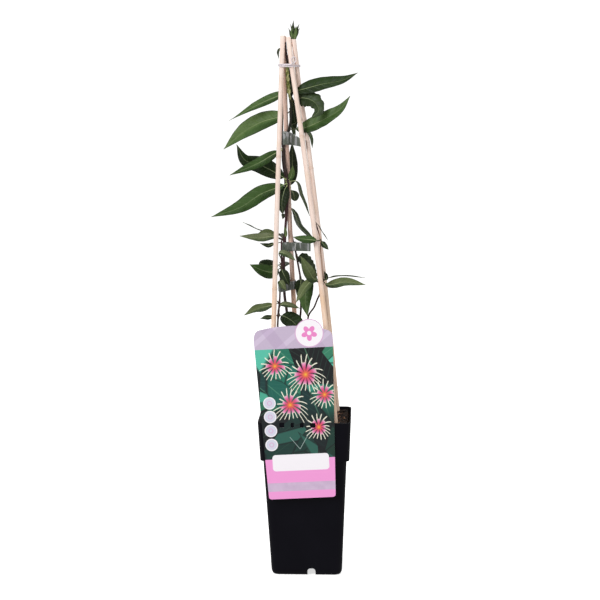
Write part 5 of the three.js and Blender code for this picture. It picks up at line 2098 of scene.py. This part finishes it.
def flower_head(shader, picture, middle_u, middle_v, radius, count, turn):
    """Drooping trumpets that spread from one point, with thin pale stamens beyond them."""
    du = u - middle_u
    dv = v - middle_v + du * du * 0.022
    far = distance(du, dv)
    angle = shader.node("Math", {"operation": "ARCTAN2"}, {0: dv, 1: du}) + turn
    bent = angle + far * 0.008
    gap = 2 * math.pi / count
    number = shader.node("Math", {"operation": "FLOOR"}, {0: bent / gap})
    sine = shader.node("Math", {"operation": "SINE"}, {0: number * 7.1})
    grown = 0.8 + 0.35 * (sine * 43.7).part()
    reach = far / grown
    aside = abs((bent / gap).part() - 0.5) * far * gap
    half = far * 0.15 + 0.6
    trumpet = (aside - half).step(0.25, -0.25) * reach.step(radius * TRUMPET_END, radius * 0.6)
    hair = abs((bent * 2 / gap).part() - 0.5) * far * (gap / 2)
    stamen = hair.step(0.7, 0.36) * reach.step(radius * 1.1, radius)
    stamen = stamen * reach.step(radius * 0.4, radius * 0.5)
    colour = shader.ramp(reach / (radius * TRUMPET_END), *PETAL_STOPS)
    shaded = shader.mix((aside / half).step(0.3, 1.0) * 0.35, colour, linear(150, 30, 90))
    picture = shader.mix(stamen * 0.95, picture, linear(255, 252, 230))
    return shader.mix(trumpet, picture, shaded)


picture = ground
for head in HEADS:
    picture = flower_head(card_print, picture, *head)
print("flower heads:", len(HEADS))

# %% Sizes of the card's layout, in its millimetres; an edge is where it starts and where it is full
HEADER_EDGE = (186.9, 187.1)
FOOT_EDGE = (50.1, 49.9)
BAND_EDGES = ((9.4, 9.8), (20.5, 20.1))
PANEL = {"u": 0.5, "v": 45.2, "half_u": 34.8, "half_v": 10.2, "corner": 4}
BADGES = {"u": -34.2, "heights": (120.3, 103.3, 85.9, 68.4), "rim": 7.7, "radius": 6.5,
          "ring_outside": 3, "ring_inside": 2}
DISC = {"u": 19, "v": 205, "rim": 17.6, "radius": 16.5}
CREASES = [((-11.3, 77), (0.5, 61.8)), ((0.5, 61.8), (16.3, 87.6))]
CREASE_HALF = 0.28
LILAC, PINK = linear(204, 184, 212), linear(250, 162, 222)
WHITE = linear(255, 250, 255)
print("badges:", len(BADGES["heights"]))

# %% Head, foot, badges, panel and disc
# Painted reflections on the glossy lilac head: lighter and darker diagonal bands, as if the card
# mirrored its surroundings.
painted_bright_reflection = abs(((u + v * 0.7) / 46).part() - 0.5).step(0.16, 0.2)
painted_dark_reflection = abs(((u * 0.8 - v) / 31).part() - 0.5).step(0.1, 0.14)
header = card_print.mix(painted_bright_reflection * 0.5, LILAC, linear(224, 210, 230))
header = card_print.mix(painted_dark_reflection * 0.35, header, linear(176, 158, 182))
face = card_print.mix(v.step(*HEADER_EDGE), picture, header)
first_crease, second_crease = [thin_line(u, v, a, b, CREASE_HALF) for a, b in CREASES]
face = card_print.mix(first_crease.most(second_crease) * 0.6, face, linear(196, 214, 210))
face = card_print.mix(v.step(*FOOT_EDGE), face, PINK)
panel = round_box(u - PANEL["u"], v - PANEL["v"], PANEL["half_u"], PANEL["half_v"], PANEL["corner"])
face = card_print.mix(panel, face, WHITE)
band = v.step(*BAND_EDGES[0]) * v.step(*BAND_EDGES[1])
cloud = card_print.noise(spot, 130, 4)
band_tone = card_print.mix(cloud, linear(196, 170, 200), linear(226, 202, 228))
face = card_print.mix(band, face, band_tone)
for badge_height in BADGES["heights"]:
    badge = (u - BADGES["u"], v - badge_height)
    face = card_print.mix(round_spot(*badge, BADGES["rim"]), face, WHITE)
    face = card_print.mix(round_spot(*badge, BADGES["radius"]) * 0.8, face, linear(208, 210, 230))
    inside = round_spot(*badge, BADGES["ring_inside"])
    ring = round_spot(*badge, BADGES["ring_outside"]) * (1 - inside)
    face = card_print.mix(ring * 0.6, face, linear(226, 150, 204))
disc = (u - DISC["u"], v - DISC["v"])
face = card_print.mix(round_spot(*disc, DISC["rim"]), face, linear(222, 176, 214))
face = card_print.mix(round_spot(*disc, DISC["radius"]), face, WHITE)
print("card layout drawn")

# %% A plain five-petalled flower in the disc
FLOWER = {"petals": 5, "turn": 0.8, "petal": 5.2, "heart": 4.6, "eye": 2.6}

angle = card_print.node("Math", {"operation": "ARCTAN2"}, {0: disc[1], 1: disc[0]})
petal_angle = angle * (FLOWER["petals"] / 2) + FLOWER["turn"]
lobe = abs(card_print.node("Math", {"operation": "COSINE"}, {0: petal_angle}))
flower = (distance(*disc) - (lobe * FLOWER["petal"] + FLOWER["heart"])).step(0.3, -0.3)
face = card_print.mix(flower, face, linear(242, 140, 204))
face = card_print.mix(round_spot(*disc, FLOWER["eye"]), face, WHITE)
print("petals:", FLOWER["petals"])

# %% [markdown]
# The back of the card is white with the head and foot of the same colours showing on it. The two
# sides differ only by how far forward they lie, so the finish tells them apart by that.

# %% The back of the card, and the whole finish
back = card_print.mix(v.step(186.5, 187.5), linear(238, 234, 238), LILAC)
back = card_print.mix(v.step(50.5, 49.5), back, PINK)
grain = card_print.noise(spot, 260, 3)
back = card_print.mix(grain * 0.12, back, linear(205, 200, 208))
is_front = (y * 1000).step(CARD_FRONT + 0.06, CARD_FRONT - 0.06)
card_print.feed("Base Color", card_print.mix(is_front, back, face))
card_print.feed("Roughness", 0.3 + grain * 0.12)
card_print.feed("Coat Weight", 0.25 + grain * 0.1)
card_print.bump(grain, 0.00005)

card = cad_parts["label_card"]
card.material_slots[0].material = card_print.material
